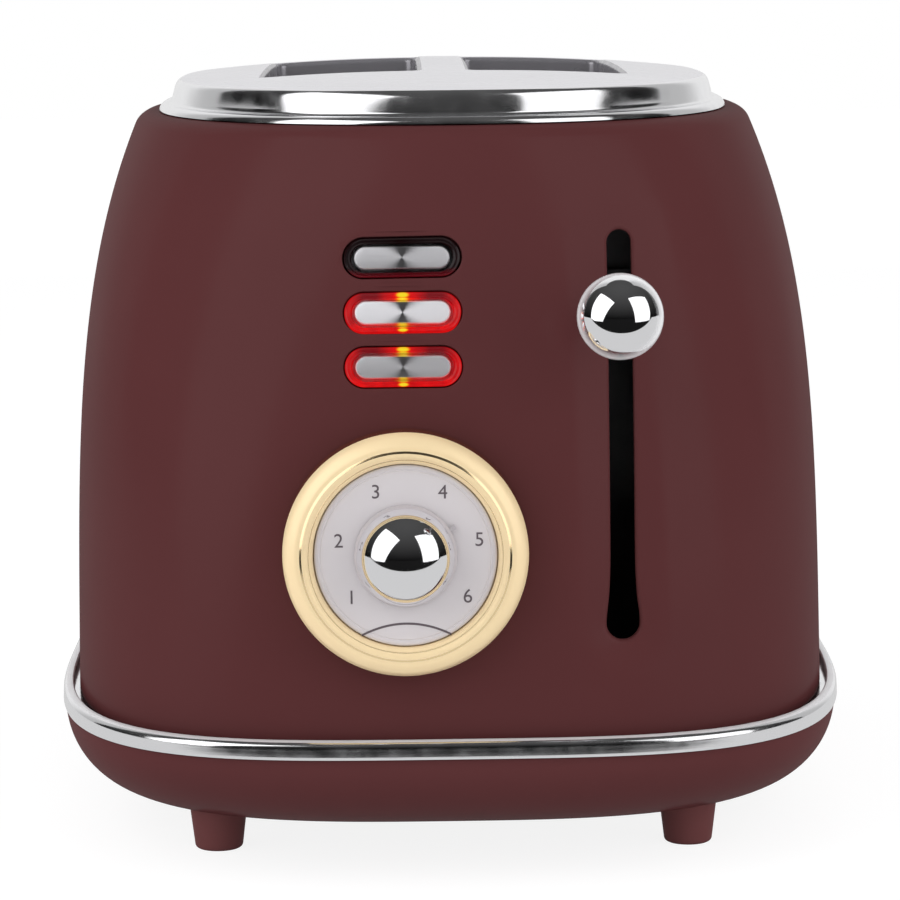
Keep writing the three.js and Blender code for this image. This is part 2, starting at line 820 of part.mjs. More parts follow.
function baseScrews() {
  const headZ = footHeight + screwRecess;
  const shankZ = headZ + screwHeadHeight;
  const tipZ = basePlateTopZ + screwTipRise;
  const profile = [[0, headZ], [screwHeadRadius, headZ], [screwHeadRadius, shankZ],
    [screwRadius, shankZ], [screwRadius, tipZ], [0, tipZ]];
  const places = [['front_left', -1, -1], ['front_right', 1, -1], ['rear_left', -1, 1], ['rear_right', 1, 1]];
  return places.map(([place, side, end]) => {
    const mesh = piece(`base_screw_${place}`, solidOf(turnedAboutZ(profile, pinSegments)), zinc());
    mesh.position.set(side * postX, end * postY, 0);
    return mesh;
  });
}

// Top plate with its two drawn slots

function plateRing(halfWidth, z, squareness) {
  return ringOf(halfWidth, halfWidth + lengthExtra + plateLengthExtra, squareness, z, evenAngles);
}

function bevelRing(insetShare, riseShare) {
  return plateRing(lipHalfWidth - lipStep - bevelInset * insetShare, bevelBottomZ + bevelRise * riseShare,
    blend(rimSquareness, plateSquareness, riseShare));
}

function domeRing(halfWidth, share, edgeZ) {
  return ringOf(halfWidth * share, (halfWidth + lengthExtra + plateLengthExtra) * share, plateSquareness,
    edgeZ + domeRise * (1 - share ** 2), evenAngles);
}

function filledPlate() {
  const rings = [
    plateRing(lipHalfWidth, plateBottomZ, rimSquareness),
    plateRing(lipHalfWidth, lipTopZ - lipRoll, rimSquareness),
    plateRing(lipHalfWidth - lipRoll, lipTopZ, rimSquareness),
    plateRing(lipHalfWidth - lipStep, lipTopZ, rimSquareness),
    plateRing(lipHalfWidth - lipStep, bevelBottomZ, rimSquareness),
    ...bevelShares.map(([inset, rise]) => bevelRing(inset, rise)),
    bevelRing(1, 1),
    ...domeShares.map((share) => domeRing(plateEdgeHalfWidth, share, plateEdgeZ)),
  ];
  return solidOf(skin(rings, false));
}

function topPlate() {
  const outer = filledPlate();
  const underEdge = plateEdgeHalfWidth - plateWall;
  const hollow = solidOf(skin([
    plateRing(lipHalfWidth - plateWall, plateBottomZ - cutOverrun, rimSquareness),
    plateRing(lipHalfWidth - plateWall, lipTopZ - lipRoll - plateWall, rimSquareness),
    plateRing(lipHalfWidth - lipStep - plateWall, lipTopZ - plateWall, rimSquareness),
    plateRing(underEdge, plateEdgeZ - plateWall, plateSquareness),
    domeRing(underEdge, domeShares[0], plateEdgeZ - plateWall),
  ], false));
  let plate = outer.subtract(hollow);
  for (const side of [-1, 1]) {
    const around = roundedRectangle(slotWidth / 2 + collarWall, slotLength / 2 + collarWall,
      slotCorner + collarWall, side * slotMiddleX, slotMiddleY);
    const sleeve = pulledAlongZ(around, collarBottomZ, plateTopZ + cutOverrun, cornerSegments);
    const below = box(-plateEdgeHalfWidth, plateEdgeHalfWidth, -bodyHalfLength, bodyHalfLength,
      collarBottomZ, plateEdgeZ - plateWall / 2);
    plate = plate.add(sleeve.intersect(outer.add(below)));
  }
  for (const side of [-1, 1]) {
    const opening = roundedRectangle(slotWidth / 2, slotLength / 2, slotCorner,
      side * slotMiddleX, slotMiddleY);
    plate = plate.subtract(pulledAlongZ(opening, collarBottomZ - cutOverrun, plateTopZ + cutOverrun,
      cornerSegments));
  }
  return piece('top_plate', plate, satin());
}

// Chassis

function chassisBase() {
  let plate = box(-baseHalfWidth, baseHalfWidth, baseFrontY, baseRearY, basePlateZ, basePlateTopZ);
  plate = plate.subtract(box(-crumbWindowHalfWidth, crumbWindowHalfWidth, wellFrontY + runGap,
    wellRearY - runGap, basePlateZ - cutOverrun, basePlateTopZ + cutOverrun));
  for (const side of [-1, 1]) {
    for (const end of [-1, 1]) {
      plate = plate.subtract(rodAlongZ(screwRadius + seatGap, side * postX, end * postY,
        basePlateZ - cutOverrun, basePlateTopZ + cutOverrun, pinSegments));
    }
  }
  return piece('chassis_base', plate, zinc());
}

const guidePivotZ = standZ + guidePivotRise;
const innerGuideX = slotMiddleX - slotWidth / 2 + guideInset - guideSheet / 2 + seatGap;
const outerGuideX = slotMiddleX + slotWidth / 2 - guideInset + guideSheet / 2 - seatGap;

function endPlate(fromY, toY) {
  let plate = box(-chassisHalfWidth, chassisHalfWidth, fromY, toY, standZ, chassisTopZ);
  for (const side of [-1, 1]) {
    const middle = side * slotMiddleX;
    plate = plate.subtract(box(middle - rackSlotWidth / 2, middle + rackSlotWidth / 2, fromY - cutOverrun,
      toY + cutOverrun, standZ - cutOverrun, rackTop + leverLift + runGap));
    for (const x of [innerGuideX, outerGuideX]) {
      plate = plate.subtract(rodAlongY(guidePinRadius + seatGap, side * x, guidePivotZ, fromY - cutOverrun,
        toY + cutOverrun, pinSegments));
    }
  }
  return plate;
}

function chassisFront() {
  const plate = endPlate(wellFrontY - chassisSheet, wellFrontY);
  const tab = box(topTabLeft, topTabRight, wellFrontY - chassisSheet - topTabLength, wellFrontY,
    topTabZ, topTabZ + chassisSheet);
  return piece('chassis_front', plate.add(tab), zinc());
}

function chassisRear() {
  return piece('chassis_rear', endPlate(wellRearY, wellRearY + chassisSheet), zinc());
}

function sidePlates() {
  const [from, to] = [wellFrontY + seatGap, wellRearY - seatGap];
  return [['left', -1], ['right', 1]].map(([place, side]) => {
    const section = polygon([
      [sideSheetX - sideFlange, standZ], [sideSheetX, standZ], [sideSheetX, chassisTopZ],
      [sideSheetX - sideFlange, chassisTopZ], [sideSheetX - sideFlange, chassisTopZ - sheet],
      [sideSheetX - sheet, chassisTopZ - sheet], [sideSheetX - sheet, standZ + sheet],
      [sideSheetX - sideFlange, standZ + sheet],
    ].map(([x, z]) => [side * x, z]));
    return piece(`side_plate_${place}`, pulledAlongY(section, from, to), steel());
  });
}

// Heater boards: a mica sheet with a flat winding laid across both faces

function heater(name, middleX) {
  const bottom = standZ + heaterBottomRise;
  const top = chassisTopZ - heaterTopDrop;
  const pitch = (top - bottom) / windingCount;
  const [near, far] = [micaSheet / 2, micaSheet / 2 + windingRise];
  const right = [];
  for (let i = 0; i < windingCount; i += 1) {
    const low = bottom + (i + 0.5) * pitch - windingHeight / 2;
    const high = low + windingHeight;
    right.push([near, low], [far, low], [far, high], [near, high]);
  }
  const left = right.map(([x, z]) => [-x, z]).reverse();
  const outline = [[-near, bottom], [near, bottom], ...right, [near, top], [-near, top], ...left];
  const section = polygon(outline.map(([x, z]) => [middleX + x, z]));
  return piece(name, pulledAlongY(section, wellFrontY + seatGap, wellRearY - seatGap), mica());
}

function heaters() {
  return [
    heater('heater_left', -outerHeaterX), heater('heater_centre', 0), heater('heater_right', outerHeaterX),
  ];
}

// Bread guides: grilles that turn on pins in the chassis plates

function guide(name, x) {
  const [fromY, toY] = [wellFrontY + runGap, wellRearY - runGap];
  const [bottom, top] = [-guideFootDrop, chassisTopZ - guideTopDrop - guidePivotZ];
  const half = guideSheet / 2;
  let grille = box(-half, half, fromY, toY, bottom, top);
  const bay = (toY - fromY - guideFrame * 2 + guideWire) / guideBays;
  for (let i = 0; i < guideBays; i += 1) {
    const from = fromY + guideFrame + i * bay;
    grille = grille.subtract(box(-cutOverrun, cutOverrun, from, from + bay - guideWire,
      bottom + guideFrame * 2, top - guideFrame));
  }
  const reach = runGap + chassisSheet;
  const pin = rodAlongY(guidePinRadius, 0, 0, fromY - reach, fromY + guideFrame / 2, pinSegments);
  const rearPin = rodAlongY(guidePinRadius, 0, 0, toY - guideFrame / 2, toY + reach, pinSegments);
  const mesh = piece(name, grille.add(pin).add(rearPin), steel());
  mesh.position.set(x, 0, guidePivotZ);
  return mesh;
}

function guides() {
  return [
    guide('bread_guide_left_outer', -outerGuideX), guide('bread_guide_left_inner', -innerGuideX),
    guide('bread_guide_right_inner', innerGuideX), guide('bread_guide_right_outer', outerGuideX),
  ];
}

// Lever and carriage

function leverKnob() {
  const x = leverX - knobInboard;
  const ball = new THREE.SphereGeometry(knobRadius, roundSegments, pinSegments).rotateX(Math.PI / 2);
  const bore = box(knobInboard - armThickness / 2 - seatGap, knobInboard + armThickness / 2 + seatGap,
    -seatGap, knobRadius + cutOverrun,
    -knobLift - armHeight / 2 - seatGap, -knobLift + armHeight / 2 + seatGap);
  const mesh = piece('lever_knob', solidOf(ball).subtract(bore), chrome());
  mesh.position.set(x, knobY, leverZ + knobLift);
  return mesh;
}

function leverArm() {
  const footBackY = carriageFrontY - seatGap;
  const footFrontY = footBackY - armFootThickness;
  const strip = box(leverX - armThickness / 2, leverX + armThickness / 2, knobY,
    footBackY - armFootThickness / 2, leverZ - armHeight / 2, leverZ + armHeight / 2);
  const foot = box(leverX - armFootWidth / 2, leverX + armFootWidth / 2, footFrontY, footBackY,
    leverZ - armFootBelow, leverZ + armFootAbove);
  return piece('lever_arm', strip.add(foot), steel());
}

function leverShroud() {
  const [bottom, top] = [leverSlotBottomZ - shroudMargin, leverSlotTopZ + shroudMargin];
  const inner = shroudInnerWidth / 2;
  const outer = inner + shroudWall;
  const backY = -bodyHalfLength + shellWall + shroudDepth;
  const walls = box(leverX - outer, leverX + outer, -bodyHalfLength, backY,
    bottom - shroudWall, top + shroudWall);
  const hollow = box(leverX - inner, leverX + inner, -bodyHalfLength - cutOverrun, backY + cutOverrun,
    bottom, top);
  const inside = solidOf(filledBody(shellWall + seatGap));
  return piece('lever_shroud', walls.subtract(hollow).intersect(inside), blackPlastic());
}

function carriage() {
  const plate = box(carriageLeft, carriageRight, carriageFrontY, carriageRearY, carriageBottom, carriageTop);
  const bossTop = carriageTop - carriageBossDrop;
  const boss = rodAlongZ(carriageBossRadius, 0, rodY, bossTop - carriageBossHeight, bossTop);
  const bore = rodAlongZ(rodRadius + seatGap, 0, rodY, carriageBottom - cutOverrun,
    carriageTop + cutOverrun, pinSegments);
  const ledgeFrontY = coreMiddleY - armatureDepth / 2 - seatGap;
  const ledge = box(coreMiddleX - coreWidth / 2, coreMiddleX + coreWidth / 2, ledgeFrontY, carriageRearY,
    ledgeZ, ledgeZ + ledgeSheet);
  const studHole = rodAlongZ(armatureStud + seatGap, coreMiddleX, coreMiddleY, ledgeZ - cutOverrun,
    ledgeZ + ledgeSheet + cutOverrun, pinSegments);
  const tab = box(springX - springTabWidth / 2, springX + springTabWidth / 2,
    carriageFrontY - springTabLength, carriageRearY, carriageBottom, carriageBottom + chassisSheet);
  return piece('carriage', joined([plate, boss, ledge, tab]).subtract(bore).subtract(studHole), zinc());
}

function armature() {
  const plate = box(coreMiddleX - armatureLength / 2, coreMiddleX + armatureLength / 2,
    coreMiddleY - armatureDepth / 2, coreMiddleY + armatureDepth / 2, armatureZ, armatureZ + armatureSheet);
  const stud = rodAlongZ(armatureStud, coreMiddleX, coreMiddleY, armatureZ + armatureSheet / 2,
    ledgeZ + ledgeSheet + seatGap, pinSegments);
  return piece('armature', plate.add(stud), darkSteel());
}

function rack(name, middleX) {
  const flangeY = carriageRearY + seatGap;
  const half = rackArmThickness / 2;
  const tailY = wellRearY + chassisSheet + rackTail;
  const arm = box(middleX - half, middleX + half, flangeY, tailY, rackTop - rackArmHeight, rackTop);
  const flange = box(middleX - rackFlangeWidth / 2, middleX + rackFlangeWidth / 2, flangeY,
    flangeY + rackFlangeSheet, rackTop - rackArmHeight, rackTop - rackArmHeight + rackFlangeHeight);
  const [firstY, lastY] = [wellFrontY + rackFingerInset, wellRearY - rackFingerInset];
  const fingers = Array.from({ length: rackFingerCount }, (_, i) => {
    const y = blend(firstY, lastY, i / (rackFingerCount - 1));
    return box(middleX - rackFingerLength / 2, middleX + rackFingerLength / 2, y - rackFingerWidth / 2,
      y + rackFingerWidth / 2, rackTop - rackFingerWidth, rackTop);
  });
  return piece(name, joined([arm, flange, ...fingers]), steel());
}

function guideRod() {
  const rod = rodAlongZ(rodRadius, 0, rodY, standZ, topTabZ - seatGap, pinSegments);
  return piece('guide_rod', rod, chrome());
}

class Helix extends THREE.Curve {
  constructor(radius, turns, bottom, top) {
    super();
    Object.assign(this, { radius, turns, bottom, top });
  }

  getPoint(t, target = new THREE.Vector3()) {
    const angle = t * this.turns * Math.PI * 2;
    const [x, y] = [this.radius * Math.cos(angle), this.radius * Math.sin(angle)];
    return target.set(x, y, blend(this.bottom, this.top, t));
  }
}

function returnSpring() {
  const bottom = carriageBottom + chassisSheet + seatGap + springWire / 2;
  const top = topTabZ - seatGap - springWire / 2;
  const wire = new THREE.Shape();
  wire.absarc(0, 0, springWire / 2, 0, Math.PI * 2);
  const geometry = new THREE.ExtrudeGeometry(wire, {
    extrudePath: new Helix(springRadius, springTurns, bottom, top),
    steps: springTurns * springSteps,
    curveSegments: springArcSegments,
  });
  const mesh = piece('return_spring', solidOf(geometry), darkSteel());
  mesh.position.set(springX, rodY, 0);
  return mesh;
}

// Electromagnet

function magnetCore() {
  const half = coreWidth / 2;
  const gap = (coreWidth - coreLeg * 2 - coreMiddleLeg) / 2;
  const outline = [
    [-half, 0], [half, 0], [half, coreHeight], [half - coreLeg, coreHeight], [half - coreLeg, coreLeg],
    [half - coreLeg - gap, coreLeg], [half - coreLeg - gap, coreHeight],
    [-half + coreLeg + gap, coreHeight], [-half + coreLeg + gap, coreLeg],
    [-half + coreLeg, coreLeg], [-half + coreLeg, coreHeight], [-half, coreHeight],
  ];
  const section = polygon(outline.map(([x, z]) => [coreMiddleX + x, standZ + z]));
  const core = pulledAlongY(section, coreMiddleY - coreDepth / 2, coreMiddleY + coreDepth / 2);
  return piece('magnet_core', core, darkSteel());
}

function magnetCoil() {
  const [innerX, innerY] = [coreMiddleLeg / 2 + seatGap, coreDepth / 2 + seatGap];
  const bottom = standZ + coreLeg + seatGap;
  const hole = roundedRectangle(innerX, innerY, seatGap, coreMiddleX, coreMiddleY);
  const around = roundedRectangle(innerX + coilWall, innerY + coilWall, coilWall / 2,
    coreMiddleX, coreMiddleY);
  const coil = pulledAlongZ(around, bottom, bottom + coilHeight, cornerSegments);
  const throughHole = pulledAlongZ(hole, bottom - cutOverrun, bottom + coilHeight + cutOverrun,
    coarseSegments);
  return piece('magnet_coil', coil.subtract(throughHole), copper());
}

// Browning control

function dialBezel() {
  const floorBack = -bezelFloorRise + bezelFloor;
  const back = shellWall;
  const profile = [
    [bezelFloorHole, -bezelFloorRise], [bezelThroat, -bezelFloorRise],
    [bezelThroat, -bezelRise * throatRiseShare],
    ...bezelCrestShares.map(([out, rise]) => [blend(bezelThroat, bezelRadius, out), -bezelRise * rise]),
    [bezelRadius, back + cutOverrun],
    [bezelSpigotRadius, back + cutOverrun], [bezelSpigotRadius, bezelSpigotDepth],
    [bezelSpigotRadius - bezelSpigotWall, bezelSpigotDepth], [bezelSpigotRadius - bezelSpigotWall, floorBack],
    [bezelFloorHole, floorBack], [bezelFloorHole, -bezelFloorRise],
  ];
  const ring = solidOf(turnedAboutY(profile, bezelSegments).translate(dialX, dialFaceY, dialZ));
  const spigotZone = rodAlongY(bezelSpigotRadius, dialX, dialZ, -bodyHalfLength - bezelRise,
    controlBoardY, bezelSegments);
  const body = solidOf(filledBody(-seatGap)).subtract(spigotZone);
  return piece('dial_bezel', ring.subtract(body), gold());
}

const faceBackY = dialFaceY - bezelFloorRise - seatGap;
const faceFrontY = faceBackY - faceSheet;

function dialFace() {
  const profile = [[faceHole, 0], [bezelThroat - seatGap, 0], [bezelThroat - seatGap, -faceSheet],
    [faceHole, -faceSheet], [faceHole, 0]];
  const mesh = piece('dial_face', solidOf(turnedAboutY(profile, bezelSegments)), greyPlastic());
  mesh.position.set(dialX, faceBackY, dialZ);
  return mesh;
}

function browningKnob() {
  const domeBase = collarHeight + collarSlope;
  const dome = Array.from({ length: domeSteps + 1 }, (_, i) => {
    const angle = i / domeSteps * Math.PI / 2;
    return [domeRadius * Math.cos(angle), -domeBase - domeHeight * Math.sin(angle)];
  });
  dome[domeSteps][0] = 0;
  const profile = [[0, -knobBoreDepth], [shaftRadius + seatGap, -knobBoreDepth], [shaftRadius + seatGap, 0],
    [collarRadius, 0], [collarRadius, -collarHeight], ...dome];
  const pointer = box(-pointerWidth / 2, pointerWidth / 2, -pointerHeight, 0,
    domeRadius, collarRadius + pointerReach);
  const mesh = piece('browning_knob',
    solidOf(turnedAboutY(profile, roundSegments)).add(pointer), chrome());
  mesh.position.set(dialX, faceFrontY - seatGap, dialZ);
  mesh.rotation.y = THREE.MathUtils.degToRad(pointerAngle);
  return mesh;
}

function knobShaft() {
  const frontY = faceFrontY - seatGap - knobBoreDepth + seatGap;
  const backY = dialFaceY + potSetback - potDepth / 2;
  return piece('knob_shaft', rodAlongY(shaftRadius, dialX, dialZ, frontY, backY, pinSegments), steel());
}

function potentiometer() {
  const back = dialFaceY + potSetback;
  const body = rodAlongY(potRadius, dialX, dialZ, back - potDepth, back);
  const bush = rodAlongY(potBushRadius, dialX, dialZ, back - potDepth - potBushLength, back - potDepth / 2);
  const bore = rodAlongY(shaftRadius + seatGap, dialX, dialZ, back - potDepth - potBushLength - cutOverrun,
    back - potDepth / 2 + seatGap, pinSegments);
  return piece('potentiometer', body.add(bush).subtract(bore), zinc());
}

// Boards

function controlBoard() {
  const board = box(dialX - controlBoardWidth / 2, dialX + controlBoardWidth / 2, controlBoardY,
    controlBoardY + boardSheet, dialZ - controlBoardHeight / 2, dialZ + controlBoardHeight / 2);
  return piece('control_board', board, circuit());
}

function buttonBoard() {
  const geometry = new THREE.BoxGeometry(buttonBoardWidth, boardSheet, buttonBoardHeight);
  const mesh = piece('button_board', solidOf(geometry), circuit());
  mesh.position.set(0, boardDepth + boardSheet / 2, 0);
  const frame = buttonFrame(buttonHeights[1]);
  frame.add(mesh);
  return frame;
}

function powerBoard() {
  const plateY = wellRearY + chassisSheet + seatGap;
  const boardY = plateY + powerBoardStandoff;
  const [bottom, top] = [standZ + powerBoardRise, standZ + powerBoardRise + powerBoardHeight];
  const parts = [box(-powerBoardWidth / 2, powerBoardWidth / 2, boardY, boardY + boardSheet, bottom, top)];
  for (const side of [-1, 1]) {
    for (const z of [bottom + powerBossInset, top - powerBossInset]) {
      parts.push(rodAlongY(bossRadius, side * powerBossX, z, plateY, boardY + boardSheet / 2, pinSegments));
    }
    const x = side * relayOffset;
    const z = (bottom + top) / 2;
    parts.push(box(x - relayWidth / 2, x + relayWidth / 2, boardY + boardSheet / 2,
      boardY + boardSheet + relayDepth, z - relayHeight / 2, z + relayHeight / 2));
  }
  return piece('power_board', joined(parts), circuit());
}

// Buttons, each with its light ring and switch in a frame that leans with the wall

function withinFrame(geometry, frame) {
  return solidOf(geometry.applyMatrix4(frame.matrix.clone().invert()));
}

function lightRing(name, frame) {
  const sleeve = pulledAlongY(pill(ringLength, ringWidth), -cutOverrun, ringDepth);
  const channel = pulledAlongY(pill(ringLength - ringRim * 2, ringWidth - ringRim * 2), -cutOverrun,
    buttonRecess + ringChannel);
  const flange = pulledAlongY(pill(ringFlangeLength, ringWidth), ringFlangeDepth,
    ringFlangeDepth + ringFlangeSheet);
  const bore = pulledAlongY(pill(buttonLength + ringBore * 2, buttonWidth + ringBore * 2), -cutOverrun,
    ringDepth + cutOverrun);
  const front = sleeve.intersect(withinFrame(filledBody(0), frame)).subtract(channel);
  const back = flange.intersect(withinFrame(filledBody(shellWall + seatGap), frame));
  return piece(name, front.add(back).subtract(bore), redLens());
}

function pushButton(name) {
  const flangeDepth = ringDepth + seatGap;
  const cap = pulledAlongY(pill(buttonLength, buttonWidth), buttonRecess,
    flangeDepth + buttonFlangeSheet / 2);
  const flange = pulledAlongY(pill(buttonFlangeLength, buttonFlangeWidth), flangeDepth,
    flangeDepth + buttonFlangeSheet);
  const shankEnd = flangeDepth + buttonFlangeSheet + buttonShankLength - buttonTravel;
  const shank = box(-buttonShankWidth / 2, buttonShankWidth / 2, flangeDepth, shankEnd,
    -buttonWidth / 4, buttonWidth / 4);
  return piece(name, joined([cap, flange, shank]), satin());
}

function buttonSwitch(name) {
  const [half, stem] = [switchSize / 2, switchStemSize / 2];
  const bodyFront = switchBackDepth - switchDepth;
  const can = box(-half, half, bodyFront, switchBackDepth, -half, half);
  const plunger = box(-stem, stem, bodyFront - switchStemLength + seatGap,
    switchBackDepth - switchDepth / 2, -stem, stem);
  return piece(name, can.add(plunger), blackPlastic());
}

function buttons() {
  const names = ['defrost', 'reheat', 'cancel'];
  return names.map((name, i) => {
    const frame = buttonFrame(buttonHeights[i]);
    frame.add(lightRing(`${name}_light_ring`, frame));
    frame.add(pushButton(`${name}_button`), buttonSwitch(`${name}_switch`));
    return frame;
  });
}

// Crumb tray

function crumbTray() {
  const bottom = tubFloorZ + seatGap;
  const rearY = pullSplitY - seatGap;
  const pan = box(-trayHalfWidth, trayHalfWidth, trayFrontY, rearY, bottom, bottom + trayWallHeight);
  const hollow = box(-trayHalfWidth + traySheet, trayHalfWidth - traySheet, trayFrontY + traySheet,
    rearY - traySheet, bottom + traySheet, bottom + trayWallHeight + cutOverrun);
  return piece('crumb_tray', pan.subtract(hollow), zinc());
}

function trayPull() {
  const [bottom, top] = [tubFloorZ + seatGap, tubFloorZ + seatGap + pullHeight];
  const zone = box(-trayHalfWidth, trayHalfWidth, pullSplitY, tubHalfLength, bottom, top);
  const pocket = box(-trayHalfWidth + pullWall, trayHalfWidth - pullWall, pullSplitY - cutOverrun,
    tubHalfLength, bottom + pullWall, top + cutOverrun).intersect(filledTub(pullWall));
  const front = zone.intersect(filledTub(0)).subtract(pocket);
  const lipZ = footHeight + pullLipRise;
  const lipShape = roundedRectangle(pullLipHalfLength, pullLipReach - pullSplitY, pullLipCorner,
    0, pullSplitY);
  const lip = pulledAlongZ(lipShape, lipZ, lipZ + pullLipSheet, cornerSegments)
    .subtract(filledTub(pullLipEmbed));
  const behind = box(-trayHalfWidth, trayHalfWidth, pullSplitY, bandHalfLength, bottom, top);
  return piece('tray_pull', front.add(lip.intersect(behind)), blackPlastic());
}

// Cord gland

function cordGland() {
  const wallY = endWallAt(glandX, glandZ);
  const flangeY = wallY + glandFlange;
  const innerY = flangeY - glandFlange - shellWall - glandDepth;
  const profile = [
    [glandBore, innerY], [glandRadius, innerY], [glandRadius, wallY - shellWall],
    [glandFlangeRadius, wallY - shellWall], [glandFlangeRadius, flangeY - glandEdge],
    [glandFlangeRadius - glandEdge, flangeY], [glandBore, flangeY],
    [glandBore, innerY],
  ];
  const bush = solidOf(turnedAboutY(profile, smallSegments).translate(glandX, 0, glandZ));
  const throughHole = rodAlongY(glandRadius, glandX, glandZ, 0, bodyHalfLength + cutOverrun);
  const body = solidOf(filledBody(-seatGap)).subtract(throughHole);
  return piece('cord_gland', bush.subtract(body), blackPlastic());
}

// The whole toaster

const toaster = new THREE.Group();
toaster.position.y = settingBack;
toaster.add(
  upperShell(), baseTub(), trimBand(), topPlate(), ...feet(), ...baseScrews(),
  chassisBase(), chassisFront(), chassisRear(), ...sidePlates(), ...heaters(), ...guides(),
  leverKnob(), leverArm(), leverShroud(), carriage(), armature(),
  rack('bread_rack_left', -slotMiddleX), rack('bread_rack_right', slotMiddleX),
  guideRod(), returnSpring(), magnetCore(), magnetCoil(),
  dialBezel(), dialFace(), browningKnob(), knobShaft(), potentiometer(),
  controlBoard(), buttonBoard(), powerBoard(), ...buttons(),
  crumbTray(), trayPull(), cordGland(),
);

export default toaster;
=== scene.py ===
"""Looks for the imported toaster: the visible pieces, their finishes, the studio and the camera."""

import math
from contextlib import contextmanager

import bpy
import numpy as np
from mathutils import Matrix, Vector


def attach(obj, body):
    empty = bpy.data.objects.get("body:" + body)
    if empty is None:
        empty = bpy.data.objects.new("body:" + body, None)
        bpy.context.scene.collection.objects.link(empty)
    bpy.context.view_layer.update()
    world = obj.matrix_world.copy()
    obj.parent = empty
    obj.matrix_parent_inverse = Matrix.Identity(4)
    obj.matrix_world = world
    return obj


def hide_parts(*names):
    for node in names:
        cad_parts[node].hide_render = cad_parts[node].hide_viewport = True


bl_info = {
    "name": "Barrel Toaster Looks",
    "version": (1, 0, 0),
    "blender": (4, 5, 0),
    "location": "3D View > Sidebar > Toaster",
    "description": "Builds the visible pieces, finishes and studio round the packed toaster",
    "category": "Object",
}

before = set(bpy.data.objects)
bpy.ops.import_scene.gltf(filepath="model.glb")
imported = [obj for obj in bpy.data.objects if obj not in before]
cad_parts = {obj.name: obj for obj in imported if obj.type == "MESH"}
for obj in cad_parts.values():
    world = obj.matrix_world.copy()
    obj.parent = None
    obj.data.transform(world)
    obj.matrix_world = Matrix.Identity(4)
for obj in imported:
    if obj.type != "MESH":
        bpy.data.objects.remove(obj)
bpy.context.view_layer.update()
MM = 0.001
SMOOTH_ANGLE = math.radians(32)
FULL_TURN = math.pi * 2
FAR = 0.02
# A place along Y behind all that is cut at the rear
REAR = 0.17
GAP = 0.0003
# Hot spots of a lit ring: height over its middle, half width and half height with their halo
LAMP_SPOTS = ((0.00405, 0.0019, 0.0008), (0.003, 0.0021, 0.0007),
              (-0.003, 0.0019, 0.0007), (-0.00405, 0.0015, 0.0006))
# How bare the satin steel of each button is beside its middle; there the rest of its tone is pale, a painted
# highlight, stronger on some buttons than on others as the light falls on each
PILL_PAINTED_HIGHLIGHT = {"defrost": 0.72, "reheat": 0.36, "cancel": 0.72}

# Property helpers


def length(millimetres, description):
    return bpy.props.FloatProperty(
        description=description, default=millimetres * MM, unit="LENGTH", precision=5)


def number(value, description):
    return bpy.props.FloatProperty(description=description, default=value)


def linear(channel):
    share = channel / 255
    return share / 12.92 if share <= 0.04045 else ((share + 0.055) / 1.055) ** 2.4


def colour(red, green, blue, description):
    return bpy.props.FloatVectorProperty(
        description=description, subtype="COLOR", size=3, min=0, max=1,
        default=(linear(red), linear(green), linear(blue)))


class BodySizes(bpy.types.PropertyGroup):
    half_width: length(95, "Half of the barrel's width at its foot")
    half_length: length(140, "Half of the barrel's length at its foot")
    bottom: length(34.3, "Height of the barrel's lower edge above the table")
    height: length(139.7, "Height of the barrel without its rounded shoulder")
    taper: length(15.3, "How far each side draws in from foot to shoulder")
    taper_power: number(3.75, "How late the sides draw in, 1 being a straight slope")
    squareness: number(3.5, "Corner form at the foot, 2 being an ellipse")
    rim_squareness: number(2.35, "Corner form at the rim")
    shoulder: length(5, "Rounding between the side and the rim")
    wall: length(2.2, "Thickness of the shell")
    ledge: length(6, "Width of the flat rim under the top plate")
    lower_edge: length(0.5, "Rounding of the barrel's lower edge")
    setting_back: length(11.5, "How far the body's middle stands behind the origin")
    flute_depth: length(2, "Depth of the scooped flute round the lever slot")
    flute_half_width: length(13, "Half of the flute's width")
    flute_fade: length(13, "Height over which the flute runs out")
    flute_below: length(8.6, "How far the flute reaches below the slot")
    flute_above: length(10.5, "How far the flute reaches above the slot")


class BaseSizes(bpy.types.PropertyGroup):
    floor: length(10, "Height of the tub's underside above the table")
    rim: length(31.5, "Height of the tub's upper edge")
    wall: length(2.4, "Thickness of the tub")
    half_width: length(98.4, "Half of the tub's width at its rim")
    half_length: length(143.6, "Half of the tub's length at its rim")
    side_inset: length(16.4, "How far the tub's sides curve in under it")
    end_inset: length(35.3, "How far the tub's ends curve in under it")
    curve_power: number(1.14, "Fullness of the tub's curve")
    squareness: number(3.6, "Corner form at the rim")
    floor_squareness: number(3, "Corner form of the underside")
    foot_x: length(57.5, "Distance of each foot from the middle, across")
    foot_y: length(94, "Distance of each foot from the middle, along")
    foot_tip: length(5.9, "Radius of a foot where it meets the table")
    foot_top: length(7, "Radius of a foot where it meets the tub")
    foot_edge: length(1.2, "Rounding of a foot's lower edge")
    post_x: length(66, "Distance of each screw post from the middle, across")
    post_y: length(75, "Distance of each screw post from the middle, along")
    post_radius: length(5.5, "Radius of a screw post")
    post_top: length(27.1, "Height of a screw post")
    vent_length: length(20, "Length of a vent in the underside")
    vent_width: length(3, "Width of a vent in the underside")
    vent_pitch: length(9, "Distance between two vents")
    band_half_width: length(98.9, "Half of the polished band's width")
    band_half_length: length(145, "Half of the polished band's length")
    band_bottom: length(31.8, "Height of the band's lower face")
    band_height: length(4.5, "Height of the band")
    band_edge: length(0.5, "Rounding of the band's lower edge")
    band_slant: length(1.2, "How far the band's face leans back")
    band_rim: length(2.6, "Width of the band's upper face")
    band_rebate: length(2.3, "Depth of the seat that the barrel stands in")
    band_depth: length(9, "Width of the band's section")
    tray_half_width: length(46, "Half of the crumb tray's width")
    pull_front: length(123.5, "Where the tray's pull begins, along the body")
    pull_height: length(11, "Height of the tray's pull")


